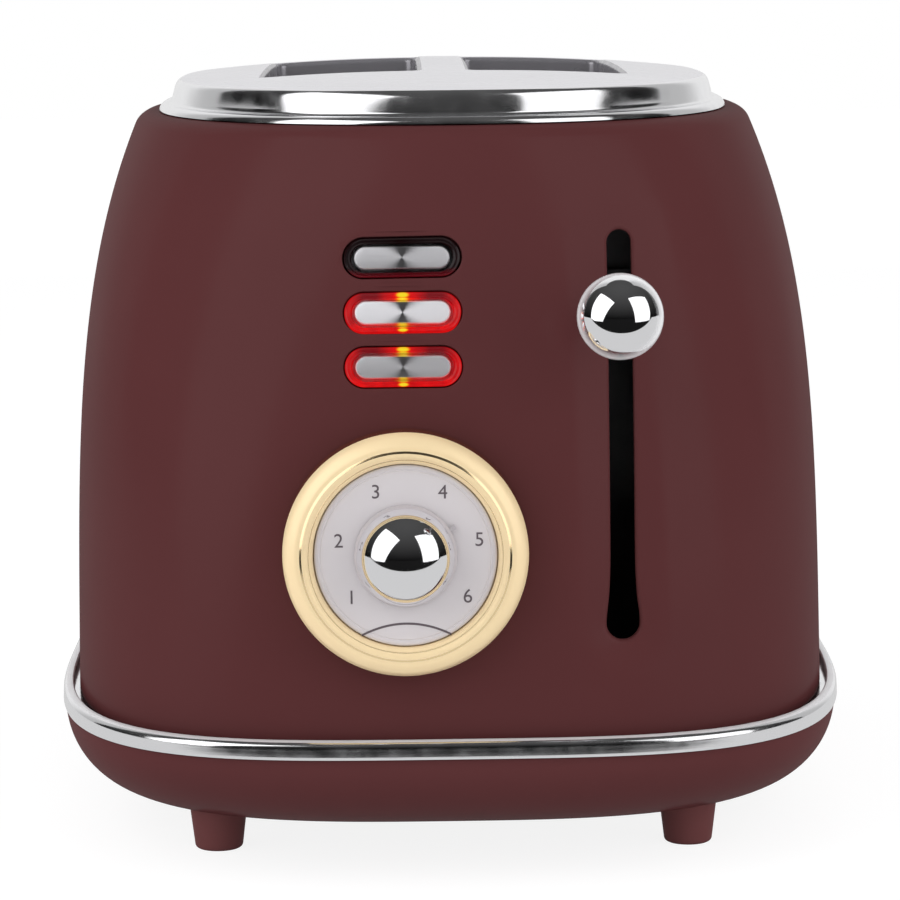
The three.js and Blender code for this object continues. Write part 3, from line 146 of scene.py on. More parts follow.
class PlateSizes(bpy.types.PropertyGroup):
    half_width: length(73.486, "Half of the lip's width")
    extra: length(47.5, "How much longer than wide the plate is, on each side")
    lip_height: length(1.8, "Height of the lip")
    lip_roll: length(1.8, "Rounding of the lip's upper edge")
    lip_step: length(3.3, "Width of the step between lip and bevel")
    step_rise: length(0.9, "Height of the small wall between step and bevel")
    bevel_inset: length(2.4, "Width of the polished bevel")
    bevel_rise: length(5.1, "Height of the polished bevel")
    dome_rise: length(3.8, "Height of the satin dome")
    squareness: number(2.47, "Corner form of the dome's edge")
    wall: length(1.2, "Thickness of the plate")
    slot_width: length(38.7, "Width of a bread slot")
    slot_length: length(135, "Length of a bread slot")
    bridge: length(13, "Metal between the two slots")
    slot_middle: length(7.5, "How far behind the body's middle the slots lie")
    slot_corner: length(3, "Corner radius of a slot")
    slot_roll: length(1.5, "Radius of the drawn edge round a slot")
    collar: length(10, "Depth of the drawn edge")
    collar_wall: length(0.9, "Thickness of the drawn edge")


class LeverSizes(bpy.types.PropertyGroup):
    slot_x: length(39.5, "Distance of the lever slot from the middle")
    slot_bottom: length(57.8, "Height of the slot's lower end")
    slot_top: length(152.5, "Height of the slot's upper end")
    slot_width: length(5.8, "Width of the slot")
    flare_width: length(7.9, "Width of the slot's lower end")
    flare_height: length(23, "Height over which the slot widens")
    slot_edge: length(0.8, "Rounding of the slot's edge")
    ball: length(9.8, "Radius of the lever's ball")
    ball_x: length(37.8, "Ball's place across")
    ball_y: length(-146.7, "Ball's place along")
    ball_z: length(135.6, "Ball's height at rest")
    arm_width: length(2.4, "Thickness of the lever's arm")
    arm_height: length(5.4, "Height of the lever's arm")


class ButtonSizes(bpy.types.PropertyGroup):
    across: length(-11, "Distance of the buttons from the middle")
    top: length(147.5, "Height of the top button")
    pitch: length(12.5, "Distance between two buttons")
    long: length(22.1, "Length of a button")
    wide: length(5.3, "Width of a button")
    recess: length(0.5, "How far a button's face lies behind the wall")
    ring_long: length(27, "Length of a light ring")
    ring_wide: length(9.2, "Width of a light ring")
    ring_bore: length(0.7, "Room between a button and its ring")
    ring_depth: length(7, "How deep a ring reaches into the body")


class DialSizes(bpy.types.PropertyGroup):
    across: length(-11, "Dial's place across")
    up: length(80, "Dial's height above the table")
    bezel: length(28.5, "Outer radius of the gold ring")
    throat: length(21.3, "Inner radius of the gold ring")
    rise: length(9.2, "How far the gold ring stands out of the shell")
    spigot: length(24, "Radius of the ring's part inside the shell")
    face_back: length(5, "How far the back of the grey face stands out of the shell")
    face_depth: length(1.5, "Thickness of the grey face")
    dome: length(11.3, "Radius of the knob's chrome dome")
    dome_height: length(10.8, "Height of the knob's chrome dome")
    dome_fullness: number(2.0, "Form of the dome, 2 being an ellipse")
    collar: length(11.8, "Radius of the knob's collar")
    figure_radius: length(16.5, "Radius of the circle that the figures stand on")
    figure_shift: length(0.8, "How far that circle stands to the right of the knob")
    figure_height: length(3.3, "Height of a figure")


class Finishes(bpy.types.PropertyGroup):
    body: colour(86, 47, 48, "Lacquer of the barrel")
    # The tub's and the feet's lacquers are set lighter than the body's to make up for the shade low on the
    # toaster: painted light, strongest on the feet
    base: colour(91, 50, 51, "Lacquer of the tub")
    foot: colour(118, 72, 72, "Lacquer of the feet")
    chrome: colour(244, 244, 246, "Polished chrome")
    satin: colour(244, 243, 247, "Satin steel of the top plate and buttons")
    # The ring's gold and the face's grey are set lighter than they look, to make up for the shade in the
    # ring's hollow and on its slanted faces: painted light
    gold: colour(255, 229, 182, "Pale gold of the dial ring")
    dial: colour(212, 207, 210, "Grey of the dial face")
    collar: colour(192, 186, 190, "Grey of the knob's collar")
    # Pale edge of the band: a painted highlight along its upper rim
    rolled: colour(238, 237, 239, "Pale rolled edges of the band")
    slot_wall: colour(160, 158, 164, "Drawn edges of the bread slots")
    figures: colour(98, 88, 94, "Print on the dial face")
    lamp_red: colour(240, 14, 16, "Lit ring")
    # Duller red of a lit ring: painted shade over its upper side, and random unevenness
    lamp_dim_painted_shade: colour(122, 4, 16, "Duller parts of a lit ring")
    lamp_halo: colour(255, 96, 8, "Glow round a lamp's spot")
    lamp_core: colour(255, 226, 40, "Bright spot where the lamp sits behind a ring")
    # The unlit ring is near black above and redder below: painted shade over its upper side and painted
    # light on its lower side
    unlit: colour(24, 6, 8, "Ring that isn't lit")
    unlit_painted_light_low: colour(92, 6, 18, "Lower side of the ring that isn't lit")
    black: colour(20, 20, 22, "Black plastic")
    steel: colour(169, 171, 173, "Plain steel inside")
    dark_steel: colour(109, 111, 114, "Blued steel of the magnet")
    zinc: colour(185, 188, 190, "Zinc-coated sheet")
    mica: colour(201, 180, 137, "Mica boards")
    circuit: colour(47, 93, 58, "Circuit boards")
    copper: colour(181, 112, 58, "Copper winding")


SETTINGS = {
    "toaster_body": BodySizes, "toaster_base": BaseSizes, "toaster_plate": PlateSizes,
    "toaster_lever": LeverSizes, "toaster_buttons": ButtonSizes, "toaster_dial": DialSizes,
    "toaster_finishes": Finishes,
}

# Modelling helpers


def deselect():
    for obj in bpy.context.selected_objects:
        obj.select_set(False)


def select_only(obj):
    deselect()
    obj.select_set(True)
    bpy.context.view_layer.objects.active = obj


@contextmanager
def editing(obj):
    select_only(obj)
    bpy.ops.object.mode_set(mode="EDIT")
    yield
    bpy.ops.object.mode_set(mode="OBJECT")


def pick(obj, faces=None, edges=None, vertices=None):
    """Selects faces, edges or vertices of a mesh by a test on their place or normal."""
    mesh = obj.data
    for items in (mesh.vertices, mesh.edges, mesh.polygons):
        items.foreach_set("select", [False] * len(items))
    bpy.context.tool_settings.mesh_select_mode = (vertices is not None, edges is not None, faces is not None)
    for items, test in ((mesh.vertices, vertices), (mesh.edges, edges), (mesh.polygons, faces)):
        if test is not None:
            items.foreach_set("select", [bool(test(item)) for item in items])


def new_piece(name):
    obj = bpy.context.active_object
    obj.name = name
    obj.data.name = name
    obj.data.transform(obj.matrix_world)
    obj.matrix_world = Matrix.Identity(4)
    return obj


def modify(obj, kind, **values):
    """Adds a modifier with its values and applies it."""
    select_only(obj)
    modifier = obj.modifiers.new(kind.title(), kind)
    for key, value in values.items():
        setattr(modifier, key, value)
    bpy.ops.object.modifier_apply(modifier=modifier.name)
    return obj


def combine(obj, other, operation):
    modify(obj, "BOOLEAN", object=other, operation=operation, solver="EXACT")
    bpy.data.objects.remove(other)
    return obj


def cut(obj, *cutters):
    for cutter in cutters:
        combine(obj, cutter, "DIFFERENCE")
    return obj


def add(obj, *others):
    for other in others:
        combine(obj, other, "UNION")
    return obj


def face_outwards(obj):
    with editing(obj):
        bpy.ops.mesh.select_all(action="SELECT")
        bpy.ops.mesh.normals_make_consistent(inside=False)


def smooth(obj, angle=SMOOTH_ANGLE):
    select_only(obj)
    bpy.ops.object.shade_smooth_by_angle(angle=angle)
    return obj


def put_vertices(obj, places):
    obj.data.vertices.foreach_set("co", np.asarray(places, dtype=np.float32).ravel())
    obj.data.update()


def own_places(obj):
    places = np.empty(len(obj.data.vertices) * 3, dtype=np.float32)
    obj.data.vertices.foreach_get("co", places)
    return places.reshape(-1, 3)


def tube(name, rings, around=False):
    """A skin through rings of points, all of one count: a cylinder cut into rows, its vertices moved.

    Its two ends are capped, or with around=True the last ring meets the first.
    """
    rings = list(rings) + [rings[0]] if around else list(rings)
    columns, rows = len(rings[0]), len(rings)
    deselect()
    bpy.ops.mesh.primitive_cylinder_add(
        vertices=columns, radius=1, depth=rows - 1, end_fill_type="NOTHING" if around else "NGON")
    obj = new_piece(name)
    if rows > 2:
        ends = obj.data.vertices
        pick(obj, edges=lambda e: abs(ends[e.vertices[0]].co.z - ends[e.vertices[1]].co.z) > 1)
        with editing(obj):
            bpy.ops.mesh.subdivide(number_cuts=rows - 2)
    start = own_places(obj)
    first = math.atan2(start[0, 1], start[0, 0])
    turn = (np.arctan2(start[:, 1], start[:, 0]) - first) / FULL_TURN * columns
    column = np.rint(turn).astype(int) % columns
    row = np.rint(start[:, 2] + (rows - 1) / 2).astype(int)
    put_vertices(obj, np.asarray(rings)[row, column])
    if around:
        with editing(obj):
            bpy.ops.mesh.select_all(action="SELECT")
            bpy.ops.mesh.remove_doubles(threshold=1e-7)
    face_outwards(obj)
    return obj


def spun(name, profile, centre, steps, closed=False):
    """A profile of (radius, forward) drawn by extruding one vertex, then spun about Y through centre."""
    points = [Vector(centre) + Vector((radius, -forward, 0)) for radius, forward in profile]
    if closed:
        points.append(points[0])
    deselect()
    bpy.context.tool_settings.mesh_select_mode = (True, False, False)
    bpy.ops.mesh.primitive_plane_add(size=MM, location=points[0])
    obj = new_piece(name)
    with editing(obj):
        bpy.ops.mesh.select_all(action="SELECT")
        bpy.ops.mesh.merge(type="CENTER")
        for here, there in zip(points, points[1:]):
            bpy.ops.mesh.extrude_region_move(TRANSFORM_OT_translate={"value": there - here})
        bpy.ops.mesh.select_all(action="SELECT")
        bpy.ops.mesh.spin(steps=steps, angle=FULL_TURN, center=centre, axis=(0, 1, 0))
        bpy.ops.mesh.select_all(action="SELECT")
        bpy.ops.mesh.remove_doubles(threshold=1e-6)
        bpy.ops.mesh.normals_make_consistent(inside=False)
    return obj


def turned(obj, centre, angle, axis):
    """Turns a piece in its mesh, about centre."""
    pivot = Matrix.Translation(Vector(centre))
    obj.data.transform(pivot @ Matrix.Rotation(angle, 4, axis) @ pivot.inverted())
    return obj


def spun_down(name, profile, centre, steps):
    """A profile of (radius, downward) spun about the upright axis through centre."""
    return turned(spun(name, profile, centre, steps), centre, math.pi / 2, "X")


def rod_along_y(name, radius, reach, centre, steps):
    return spun(name, [(0, reach), (radius, reach), (radius, -reach), (0, -reach)], centre, steps)


def block(name, low, high):
    deselect()
    middle = (Vector(low) + Vector(high)) / 2
    bpy.ops.mesh.primitive_cube_add(size=1, location=middle, scale=Vector(high) - Vector(low))
    return new_piece(name)


def joined(name, *pieces):
    deselect()
    for obj in pieces:
        obj.select_set(True)
    bpy.context.view_layer.objects.active = pieces[0]
    bpy.ops.object.join()
    pieces[0].name = name
    pieces[0].data.name = name
    return pieces[0]


def settle(obj, body, slot, material, *nodes):
    """Gives a finished piece its material and its body, and hides the nodes that it stands for. Its slot is
    not used.
    """
    obj.data.materials.clear()
    obj.data.materials.append(material)
    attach(obj, body)
    if nodes:
        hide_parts(*nodes)
    return obj


def paint(obj, choose, *materials):
    """Gives a settled piece further materials, and each face the one whose number choose(face) gives."""
    for material in materials:
        obj.data.materials.append(material)
    for face in obj.data.polygons:
        face.material_index = int(choose(face))


# Outlines


def superellipse(half_width, half_length, squareness, angles):
    c, s = np.cos(angles), np.sin(angles)
    x = half_width * np.sign(c) * np.abs(c) ** (2 / squareness)
    y = half_length * np.sign(s) * np.abs(s) ** (2 / squareness)
    return x, y


def level(x, y, z):
    return np.stack([x, y, np.broadcast_to(z, np.shape(x))], axis=1)


def even_angles(half_width, half_length, squareness, spacing, finer=None):
    """Angles evenly spaced along an outline, closer together where finer(x, y) says so."""
    many = np.linspace(0, FULL_TURN, 20001)
    x, y = superellipse(half_width, half_length, squareness, many)
    density = np.full(len(many) - 1, 1 / spacing)
    if finer is not None:
        density *= finer(x[:-1], y[:-1])
    total = np.concatenate([[0], np.cumsum(np.hypot(np.diff(x), np.diff(y)) * density)])
    columns = int(round(total[-1]))
    return np.interp(np.arange(columns) / columns * total[-1], total, many)


def pill(long, wide, points=24):
    reach = (long - wide) / 2
    right = np.linspace(-math.pi / 2, math.pi / 2, points)
    u = np.concatenate([reach + wide / 2 * np.cos(right), -reach + wide / 2 * np.cos(right + math.pi)])
    v = np.concatenate([wide / 2 * np.sin(right), wide / 2 * np.sin(right + math.pi)])
    return u, v


def filled_in(points, spacing):
    """Adds points along the long sides of a closed outline."""
    out = []
    for here, there in zip(points, points[1:] + points[:1]):
        here, there = np.array(here), np.array(there)
        steps = max(1, int(round(float(np.linalg.norm(there - here)) / spacing)))
        out += [here + (there - here) * i / steps for i in range(steps)]
    return np.array(out).T


def rounded_rectangle(half_u, half_v, corner, middle=(0, 0), arc=8, spacing=MM):
    points = []
    for quarter, (a, b) in enumerate([(1, 1), (-1, 1), (-1, -1), (1, -1)]):
        for turn in np.linspace(quarter * math.pi / 2, (quarter + 1) * math.pi / 2, arc):
            points.append((middle[0] + a * (half_u - corner) + corner * math.cos(turn),
                           middle[1] + b * (half_v - corner) + corner * math.sin(turn)))
    return filled_in(points, spacing)


def outset(u, v, distance):
    """Lets a counter-clockwise outline out along its own normals."""
    du = np.roll(u, -1) - np.roll(u, 1)
    dv = np.roll(v, -1) - np.roll(v, 1)
    size = np.hypot(du, dv)
    return u + dv / size * distance, v - du / size * distance


def curve_through(points, steps):
    """More points along a smooth curve through the given ones."""
    points = [np.array(p, dtype=float) for p in points]
    ends = [2 * points[0] - points[1], *points, 2 * points[-1] - points[-2]]
    out = []
    for a, b, c, d in zip(ends, ends[1:], ends[2:], ends[3:]):
        for t in np.arange(steps) / steps:
            out.append((2 * b + (c - a) * t + (2 * a - 5 * b + 4 * c - d) * t * t
                        + (3 * b - a - 3 * c + d) * t ** 3) / 2)
    return [tuple(p) for p in out] + [tuple(points[-1])]


def rounding(radius, steps):
    """A quarter round as (inset, rise) pairs, from the level face to the upright one."""
    return [(radius * (1 - math.sin(a)), radius * (1 - math.cos(a)))
            for a in np.linspace(0, math.pi / 2, steps)]


def smooth_step(value):
    held = np.clip(value, 0, 1)
    return held * held * (3 - 2 * held)


# The barrel's form


class Barrel:
    """The outer form of the body, which the pieces on it follow."""

    def __init__(self):
        self.size = size = bpy.context.scene.toaster_body
        self.lever = bpy.context.scene.toaster_lever
        self.extra = size.half_length - size.half_width
        self.lean = math.atan(size.taper * size.taper_power / size.height)
        self.centre = size.half_width - size.taper - size.shoulder * math.cos(self.lean)
        self.centre_z = size.bottom + size.height - size.shoulder * math.sin(self.lean)
        self.rim_z = self.centre_z + size.shoulder
        self.angles = even_angles(size.half_width, size.half_length, size.squareness, 3.4 * MM, self.finer)

    def finer(self, x, y):
        return np.where((y < 0) & (x > 24 * MM) & (x < 73 * MM), 3.2, 1.0)

    def half_width(self, z):
        share = np.clip((z - self.size.bottom) / self.size.height, 0, 1)
        return self.size.half_width - self.size.taper * share ** self.size.taper_power

    def squareness(self, z):
        share = (z - self.size.bottom) / (self.rim_z - self.size.bottom)
        return self.size.squareness + (self.size.rim_squareness - self.size.squareness) * share

    def end(self, x, z):
        """Distance of the end wall from the body's middle."""
        half, power = self.half_width(z), self.squareness(z)
        return (half + self.extra) * (1 - (np.abs(x) / half) ** power) ** (1 / power)

    def lean_at(self, z):
        share = (z - self.size.bottom) / self.size.height
        slope = self.size.taper * self.size.taper_power * share ** (self.size.taper_power - 1)
        return math.atan(slope / self.size.height)

    def flute(self, x, z):
        size, lever = self.size, self.lever
        across = np.abs(x - lever.slot_x) / size.flute_half_width
        rise = smooth_step((z - lever.slot_bottom + size.flute_below) / size.flute_fade)
        fall = smooth_step((lever.slot_top + size.flute_above - z) / size.flute_fade)
        return size.flute_depth * np.cos(np.minimum(across, 1) * math.pi / 2) ** 2 * rise * fall

    def front(self, x, z):
        """The front wall's place along Y."""
        return self.size.setting_back - self.end(x, z) + self.flute(x, z)

    def ring(self, half, z):
        x, y = superellipse(half, half + self.extra, self.squareness(z), self.angles)
        y = np.where(y < 0, y + self.flute(x, z), y)
        return level(x, y + self.size.setting_back, z)

    def wall_rings(self, inset, rows):
        heights = self.size.bottom + self.size.height * np.linspace(0, 1, rows)
        return [self.ring(self.half_width(z) - inset, z) for z in heights]

    def shoulder_rings(self, inset, steps):
        radius = self.size.shoulder - inset
        turns = np.linspace(self.lean, math.pi / 2, steps + 1)[1:]
        return [self.ring(self.centre + radius * math.cos(a), self.centre_z + radius * math.sin(a))
                for a in turns]

    def filled(self, outside, rows=50):
        """The barrel as one filled piece, let out by a gap, to trim what stands on it."""
        return tube("barrel_form", self.wall_rings(-outside, rows) + self.shoulder_rings(-outside, 6))

    def frame(self, x, z):
        """A frame on the front wall: its Y runs into the body and its Z up along the wall."""
        place = Vector((x, self.size.setting_back - self.end(x, z), z))
        return Matrix.Translation(place) @ Matrix.Rotation(-self.lean_at(z), 4, "X")

    def in_frame(self, frame, u, v, depth):
        """Points at a depth under the wall, over (u, v) of a frame on it."""
        matrix = np.array(frame)
        w = np.zeros(len(u))
        for _ in range(4):
            x, y, z = (matrix @ np.stack([u, w, v, np.ones(len(u))]))[:3]
            w = w + (self.front(x, z) - y) / matrix[1, 1]
        return (matrix @ np.stack([u, w + depth, v, np.ones(len(u))]))[:3].T

    def flat_in_frame(self, frame, u, v, depth):
        spots = np.stack([u, np.full(len(u), float(depth)), v, np.ones(len(u))])
        return (np.array(frame) @ spots)[:3].T


def rounded_hole(name, outline, edge, place, deep):
    """A cutter for a hole with a rounded edge. place(u, v, depth) gives points under the surface."""
    flare = edge + 0.7 * MM
    rings = [place(*outset(*outline, flare), -6 * MM), place(*outset(*outline, flare), -0.13 * MM)]
    rings += [place(*outset(*outline, inset), depth) for inset, depth in rounding(edge, 7)]
    rings.append(place(*outline, deep))
    return tube(name, rings)


# Finishes


def calculated(tree, operation, *values):
    node = tree.nodes.new("ShaderNodeMath")
    node.operation = operation
    for socket, value in zip(node.inputs, values):
        if isinstance(value, (int, float)):
            socket.default_value = value
        else:
            tree.links.new(value, socket)
    return node.outputs[0]


def spread(tree, value, low, high, from_low, from_high):
    """A value's range spread out between low and high."""
    node = tree.nodes.new("ShaderNodeMapRange")
    for key, end in (("From Min", from_low), ("From Max", from_high), ("To Min", low), ("To Max", high)):
        node.inputs[key].default_value = end
    tree.links.new(value, node.inputs["Value"])
    return node.outputs["Result"]


def coordinates(tree, kind="Object"):
    """Sockets for the three parts of a texture coordinate."""
    parts = tree.nodes.new("ShaderNodeSeparateXYZ")
    tree.links.new(tree.nodes.new("ShaderNodeTexCoord").outputs[kind], parts.inputs[0])
    return parts.outputs


class Finish:
    """A material whose nodes are added one by one round a Principled shader."""

    def __init__(self, name, base, roughness, metallic=0.0):
        self.material = bpy.data.materials.new(name)
        self.material.use_nodes = True
        self.tree = self.material.node_tree
        self.shader = self.tree.nodes["Principled BSDF"]
        self.base = (*base, 1.0)
        self.put("Base Color", self.base)
        self.put("Roughness", roughness)
        self.put("Metallic", metallic)
        self.place = self.node("ShaderNodeTexCoord").outputs["Object"]
        self.relief = None

    def put(self, socket, value):
        self.shader.inputs[socket].default_value = value

    def drive(self, socket, value):
        self.tree.links.new(value, self.shader.inputs[socket])

    def node(self, kind, **inputs):
        node = self.tree.nodes.new(kind)
        for key, value in inputs.items():
            node.inputs[key.replace("_", " ")].default_value = value
        return node

    def link(self, out, into):
        self.tree.links.new(out, into)

    def mapped(self, **inputs):
        mapping = self.node("ShaderNodeMapping", **inputs)
        self.link(self.place, mapping.inputs["Vector"])
        return mapping.outputs["Vector"]

    def on_wall(self, frame):
        """Sockets for the place across, into and up a frame on the wall."""
        back = frame.inverted()
        place = self.mapped(Location=back.to_translation(), Rotation=back.to_euler("XYZ"))
        parts = self.node("ShaderNodeSeparateXYZ")
        self.link(place, parts.inputs[0])
        return parts.outputs

    def noise(self, scale, detail=3.0, stretch=None, distortion=0.0):
        """Noise over the piece, with scale features a metre, stretched by a mapping."""
        place = self.place if stretch is None else self.mapped(Scale=stretch)
        noise = self.node("ShaderNodeTexNoise", Scale=scale, Detail=detail, Distortion=distortion)
        self.link(place, noise.inputs["Vector"])
        return noise.outputs["Fac"]

    def ranged(self, value, low, high, from_low=0.3, from_high=0.7):
        return spread(self.tree, value, low, high, from_low, from_high)

    def mix(self, share, first, second):
        mix = self.node("ShaderNodeMix")
        mix.data_type = "RGBA"
        self.link(share, mix.inputs[0])
        for socket, value in ((mix.inputs[6], first), (mix.inputs[7], second)):
            if isinstance(value, tuple):
                socket.default_value = value
            else:
                self.link(value, socket)
        return mix.outputs[2]

    def bump(self, height, distance, strength=1.0):
        """Adds relief, distance in metres, on top of the relief that is there."""
        bump = self.node("ShaderNodeBump", Strength=strength, Distance=distance)
        self.link(height, bump.inputs["Height"])
        if self.relief is not None:
            self.link(self.relief, bump.inputs["Normal"])
        self.relief = bump.outputs["Normal"]
        self.drive("Normal", self.relief)

    def roughness(self, value, low, high):
        self.drive("Roughness", self.ranged(value, low, high))

    def shade(self, value, low, high):
        """Varies the base colour's lightness between two shares."""
        dark = tuple(c * low for c in self.base[:3]) + (1.0,)
        light = tuple(min(1.0, c * high) for c in self.base[:3]) + (1.0,)
        self.drive("Base Color", self.mix(self.ranged(value, 0, 1), dark, light))


def surfaced(finish, tone, rough, relief):
    """Each of the three is a noise's values, and then its low and high, or its depth and strength."""
    finish.shade(finish.noise(*tone[0]), *tone[1:])
    finish.roughness(finish.noise(*rough[0]), *rough[1:])
    finish.bump(finish.noise(*relief[0]), *relief[1:])
    return finish.material


def lacquer(name, base):
    finish = Finish(name, base, 0.36)
    finish.put("Specular IOR Level", 0.0)
    finish.put("Coat Weight", 0.11)
    finish.put("Coat Roughness", 0.22)
    surfaced(finish, ((24, 2), 0.975, 1.025), ((60, 3), 0.33, 0.38), ((900, 2), 0.03 * MM, 0.35))
    finish.bump(finish.noise(5200, 2), 0.012 * MM, 0.4)
    finish.drive("Coat Normal", finish.relief)
    return finish.material


def polished(name, base, roughness=0.05):
    finish = Finish(name, base, roughness, 1.0)
    finish.roughness(finish.noise(180, 4), roughness * 0.7, roughness * 1.5)
    finish.bump(finish.noise(70, 2), 0.02 * MM, 0.12)
    return finish.material


def painted_rim_reflection(name, base, roughness=0.05):
    """Polished metal whose rim, seen edge on, turns to a soft pale grey: a painted reflection of pale
    surroundings, made by a lower metal share there.
    """
    material = polished(name, base, roughness)
    tree = material.node_tree
    rim = tree.nodes.new("ShaderNodeLayerWeight")
    bare = spread(tree, rim.outputs["Facing"], 1.0, 0.15, 0.42, 0.72)
    tree.links.new(bare, tree.nodes["Principled BSDF"].inputs["Metallic"])
    return material


def satin_metal(name, base, stretch, roughness=0.3):
    """Metal with a fine brushed grain that runs the way the stretch is small."""
    finish = Finish(name, base, roughness, 1.0)
    grain = finish.noise(2600, 2, stretch)
    finish.roughness(grain, roughness * 0.85, roughness * 1.15)
    finish.bump(grain, 0.01 * MM, 0.25)
    finish.shade(finish.noise(40, 3), 0.97, 1.0)
    return finish.material


def plated(name, base, metallic, roughness):
    """A soft, pale plating, or the band's edge made pale as a painted highlight, that keeps its own tone
    from every side.
    """
    rough = ((140, 3), roughness * 0.85, roughness * 1.15)
    return surfaced(Finish(name, base, roughness, metallic), ((30, 2), 0.98, 1.0), rough,
                    ((90, 2), 0.01 * MM, 0.1))


def sheet_metal(name, base, roughness=0.42):
    rough = ((160, 4), roughness * 0.8, roughness * 1.25)
    return surfaced(Finish(name, base, roughness, 1.0), ((90, 5), 0.82, 1.05), rough,
                    ((1400, 3), 0.03 * MM, 0.2))


def moulded(name, base, roughness=0.5):
    rough = ((300, 3), roughness * 0.9, roughness * 1.12)
    return surfaced(Finish(name, base, roughness), ((30, 2), 0.95, 1.05), rough,
                    ((2600, 2), 0.03 * MM, 0.35))


def layered_board(name, base):
    return surfaced(Finish(name, base, 0.55), ((140, 6, (1, 1, 0.5), 1.5), 0.72, 1.15),
                    ((260, 4), 0.4, 0.62), ((700, 4), 0.05 * MM, 0.35))


def turned_pill(name, finishes, frame):
    """Satin steel turned in rings round the middle of a button: bright along it and dark above and below,
    partly from its own anisotropic gloss and partly from a painted highlight beside the middle and painted
    shade above and below.
    """
    finish = Finish(name + "_turned_steel", finishes.satin, 0.3, 1.0)
    finish.put("Anisotropic", 0.85)
    across, _, up = finish.on_wall(frame)
    tree = finish.tree
    # Painted highlight and shade: the metal share drops beside the middle so the pale tone shows there, and
    # stays full above and below
    upright, aside = (calculated(tree, "ABSOLUTE", part) for part in (up, across))
    turn = calculated(tree, "ARCTAN2", upright, aside)
    painted_shade_wedge = finish.ranged(turn, 0.0, 1.0, 0.35, 1.15)
    finish.drive("Metallic", finish.ranged(painted_shade_wedge, PILL_PAINTED_HIGHLIGHT[name], 1.0, 0.0, 1.0))
    outwards = finish.mapped(Location=-frame.to_translation())
    finish.drive("Tangent", outwards)
    reach = finish.node("ShaderNodeVectorMath")
    reach.operation = "LENGTH"
    finish.link(outwards, reach.inputs[0])
    rings = finish.node("ShaderNodeTexNoise", Scale=9000.0, Detail=2.0)
    rings.noise_dimensions = "1D"
    finish.link(reach.outputs["Value"], rings.inputs["W"])
    finish.roughness(rings.outputs["Fac"], 0.28, 0.34)
    finish.bump(rings.outputs["Fac"], 0.003 * MM, 0.12)
    return finish.material


def lit_lens(name, finishes, frame):
    """A glowing ring: red, brightest below and at its lamps, with four hot spots over the lamps; its dimmer
    upper side is painted shade.
    """
    finish = Finish(name + "_lit_lens", finishes.unlit, 0.2)
    finish.put("Specular IOR Level", 0.3)
    across, _, up = finish.on_wall(frame)
    tree = finish.tree
    aside = calculated(tree, "ABSOLUTE", across)
    # Painted shade: the glow is dimmer over the ring's upper side and brighter below
    below = finish.ranged(up, 1.0, 0.0, -3.2 * MM, -0.6 * MM)
    by_lamp = finish.ranged(aside, 1.0, 0.0, 2.2 * MM, 6.0 * MM)
    at_end = finish.ranged(aside, 0.0, 0.75, 9.2 * MM, 12.4 * MM)
    lit = calculated(tree, "MAXIMUM", calculated(tree, "MAXIMUM", below, by_lamp), at_end)
    uneven = calculated(tree, "MULTIPLY", lit, finish.ranged(finish.noise(420, 2), 0.6, 1.0))
    spot = 0.0
    for place, wide, high in LAMP_SPOTS:
        far = calculated(tree, "DIVIDE", across, wide)
        off = calculated(tree, "DIVIDE", calculated(tree, "SUBTRACT", up, place), high)
        square = calculated(tree, "MULTIPLY_ADD", far, far, calculated(tree, "MULTIPLY", off, off))
        spot = calculated(tree, "MAXIMUM", spot, calculated(tree, "SUBTRACT", 1.0, square))
    red = finish.mix(uneven, (*finishes.lamp_dim_painted_shade, 1.0), (*finishes.lamp_red, 1.0))
    halo = finish.mix(finish.ranged(spot, 0.0, 1.0, 0.0, 0.45), red, (*finishes.lamp_halo, 1.0))
    core = finish.mix(finish.ranged(spot, 0.0, 1.0, 0.35, 0.8), halo, (*finishes.lamp_core, 1.0))
    finish.drive("Emission Color", core)
    finish.put("Emission Strength", 0.86)
    finish.bump(finish.noise(500, 2), 0.2 * MM, 0.3)
    return finish.material


def unlit_lens(name, finishes, frame):
    finish = Finish(name + "_unlit_lens", finishes.unlit, 0.2)
    finish.put("Specular IOR Level", 0.3)
    _, _, up = finish.on_wall(frame)
    # Painted shade and light: near black over the upper side, redder over the lower side
    low = finish.ranged(up, 1.0, 0.0, -4.2 * MM, -2.4 * MM)
    tone = finish.mix(low, (*finishes.unlit, 1.0), (*finishes.unlit_painted_light_low, 1.0))
    finish.drive("Base Color", tone)
    finish.bump(finish.noise(500, 2), 0.2 * MM, 0.3)
    return finish.material


def dial_card(finishes):
    return surfaced(Finish("dial_card_grey", finishes.dial, 0.45), ((50, 2), 0.985, 1.015),
                    ((400, 2), 0.4, 0.5), ((3000, 2), 0.01 * MM, 0.3))


# Stage


# Where metal sees the table end in front of the toaster, along Y
TABLE_END = -0.315


def stage_material(name, build):
    material = bpy.data.materials.new(name)
    material.use_nodes = True
    tree = material.node_tree
    tree.nodes.clear()
    out = tree.nodes.new("ShaderNodeOutputMaterial")
    tree.links.new(build(tree), out.inputs[0])
    return material


def glow(tree, grey, strength=1.0):
    node = tree.nodes.new("ShaderNodeEmission")
    node.inputs["Color"].default_value = (grey, grey, grey, 1.0)
    node.inputs["Strength"].default_value = strength
    return node.outputs[0]


def mixed(tree, share, first, second):
    node = tree.nodes.new("ShaderNodeMixShader")
    if isinstance(share, float):
        node.inputs[0].default_value = share
    else:
        tree.links.new(share, node.inputs[0])
    tree.links.new(first, node.inputs[1])
    tree.links.new(second, node.inputs[2])
    return node.outputs[0]


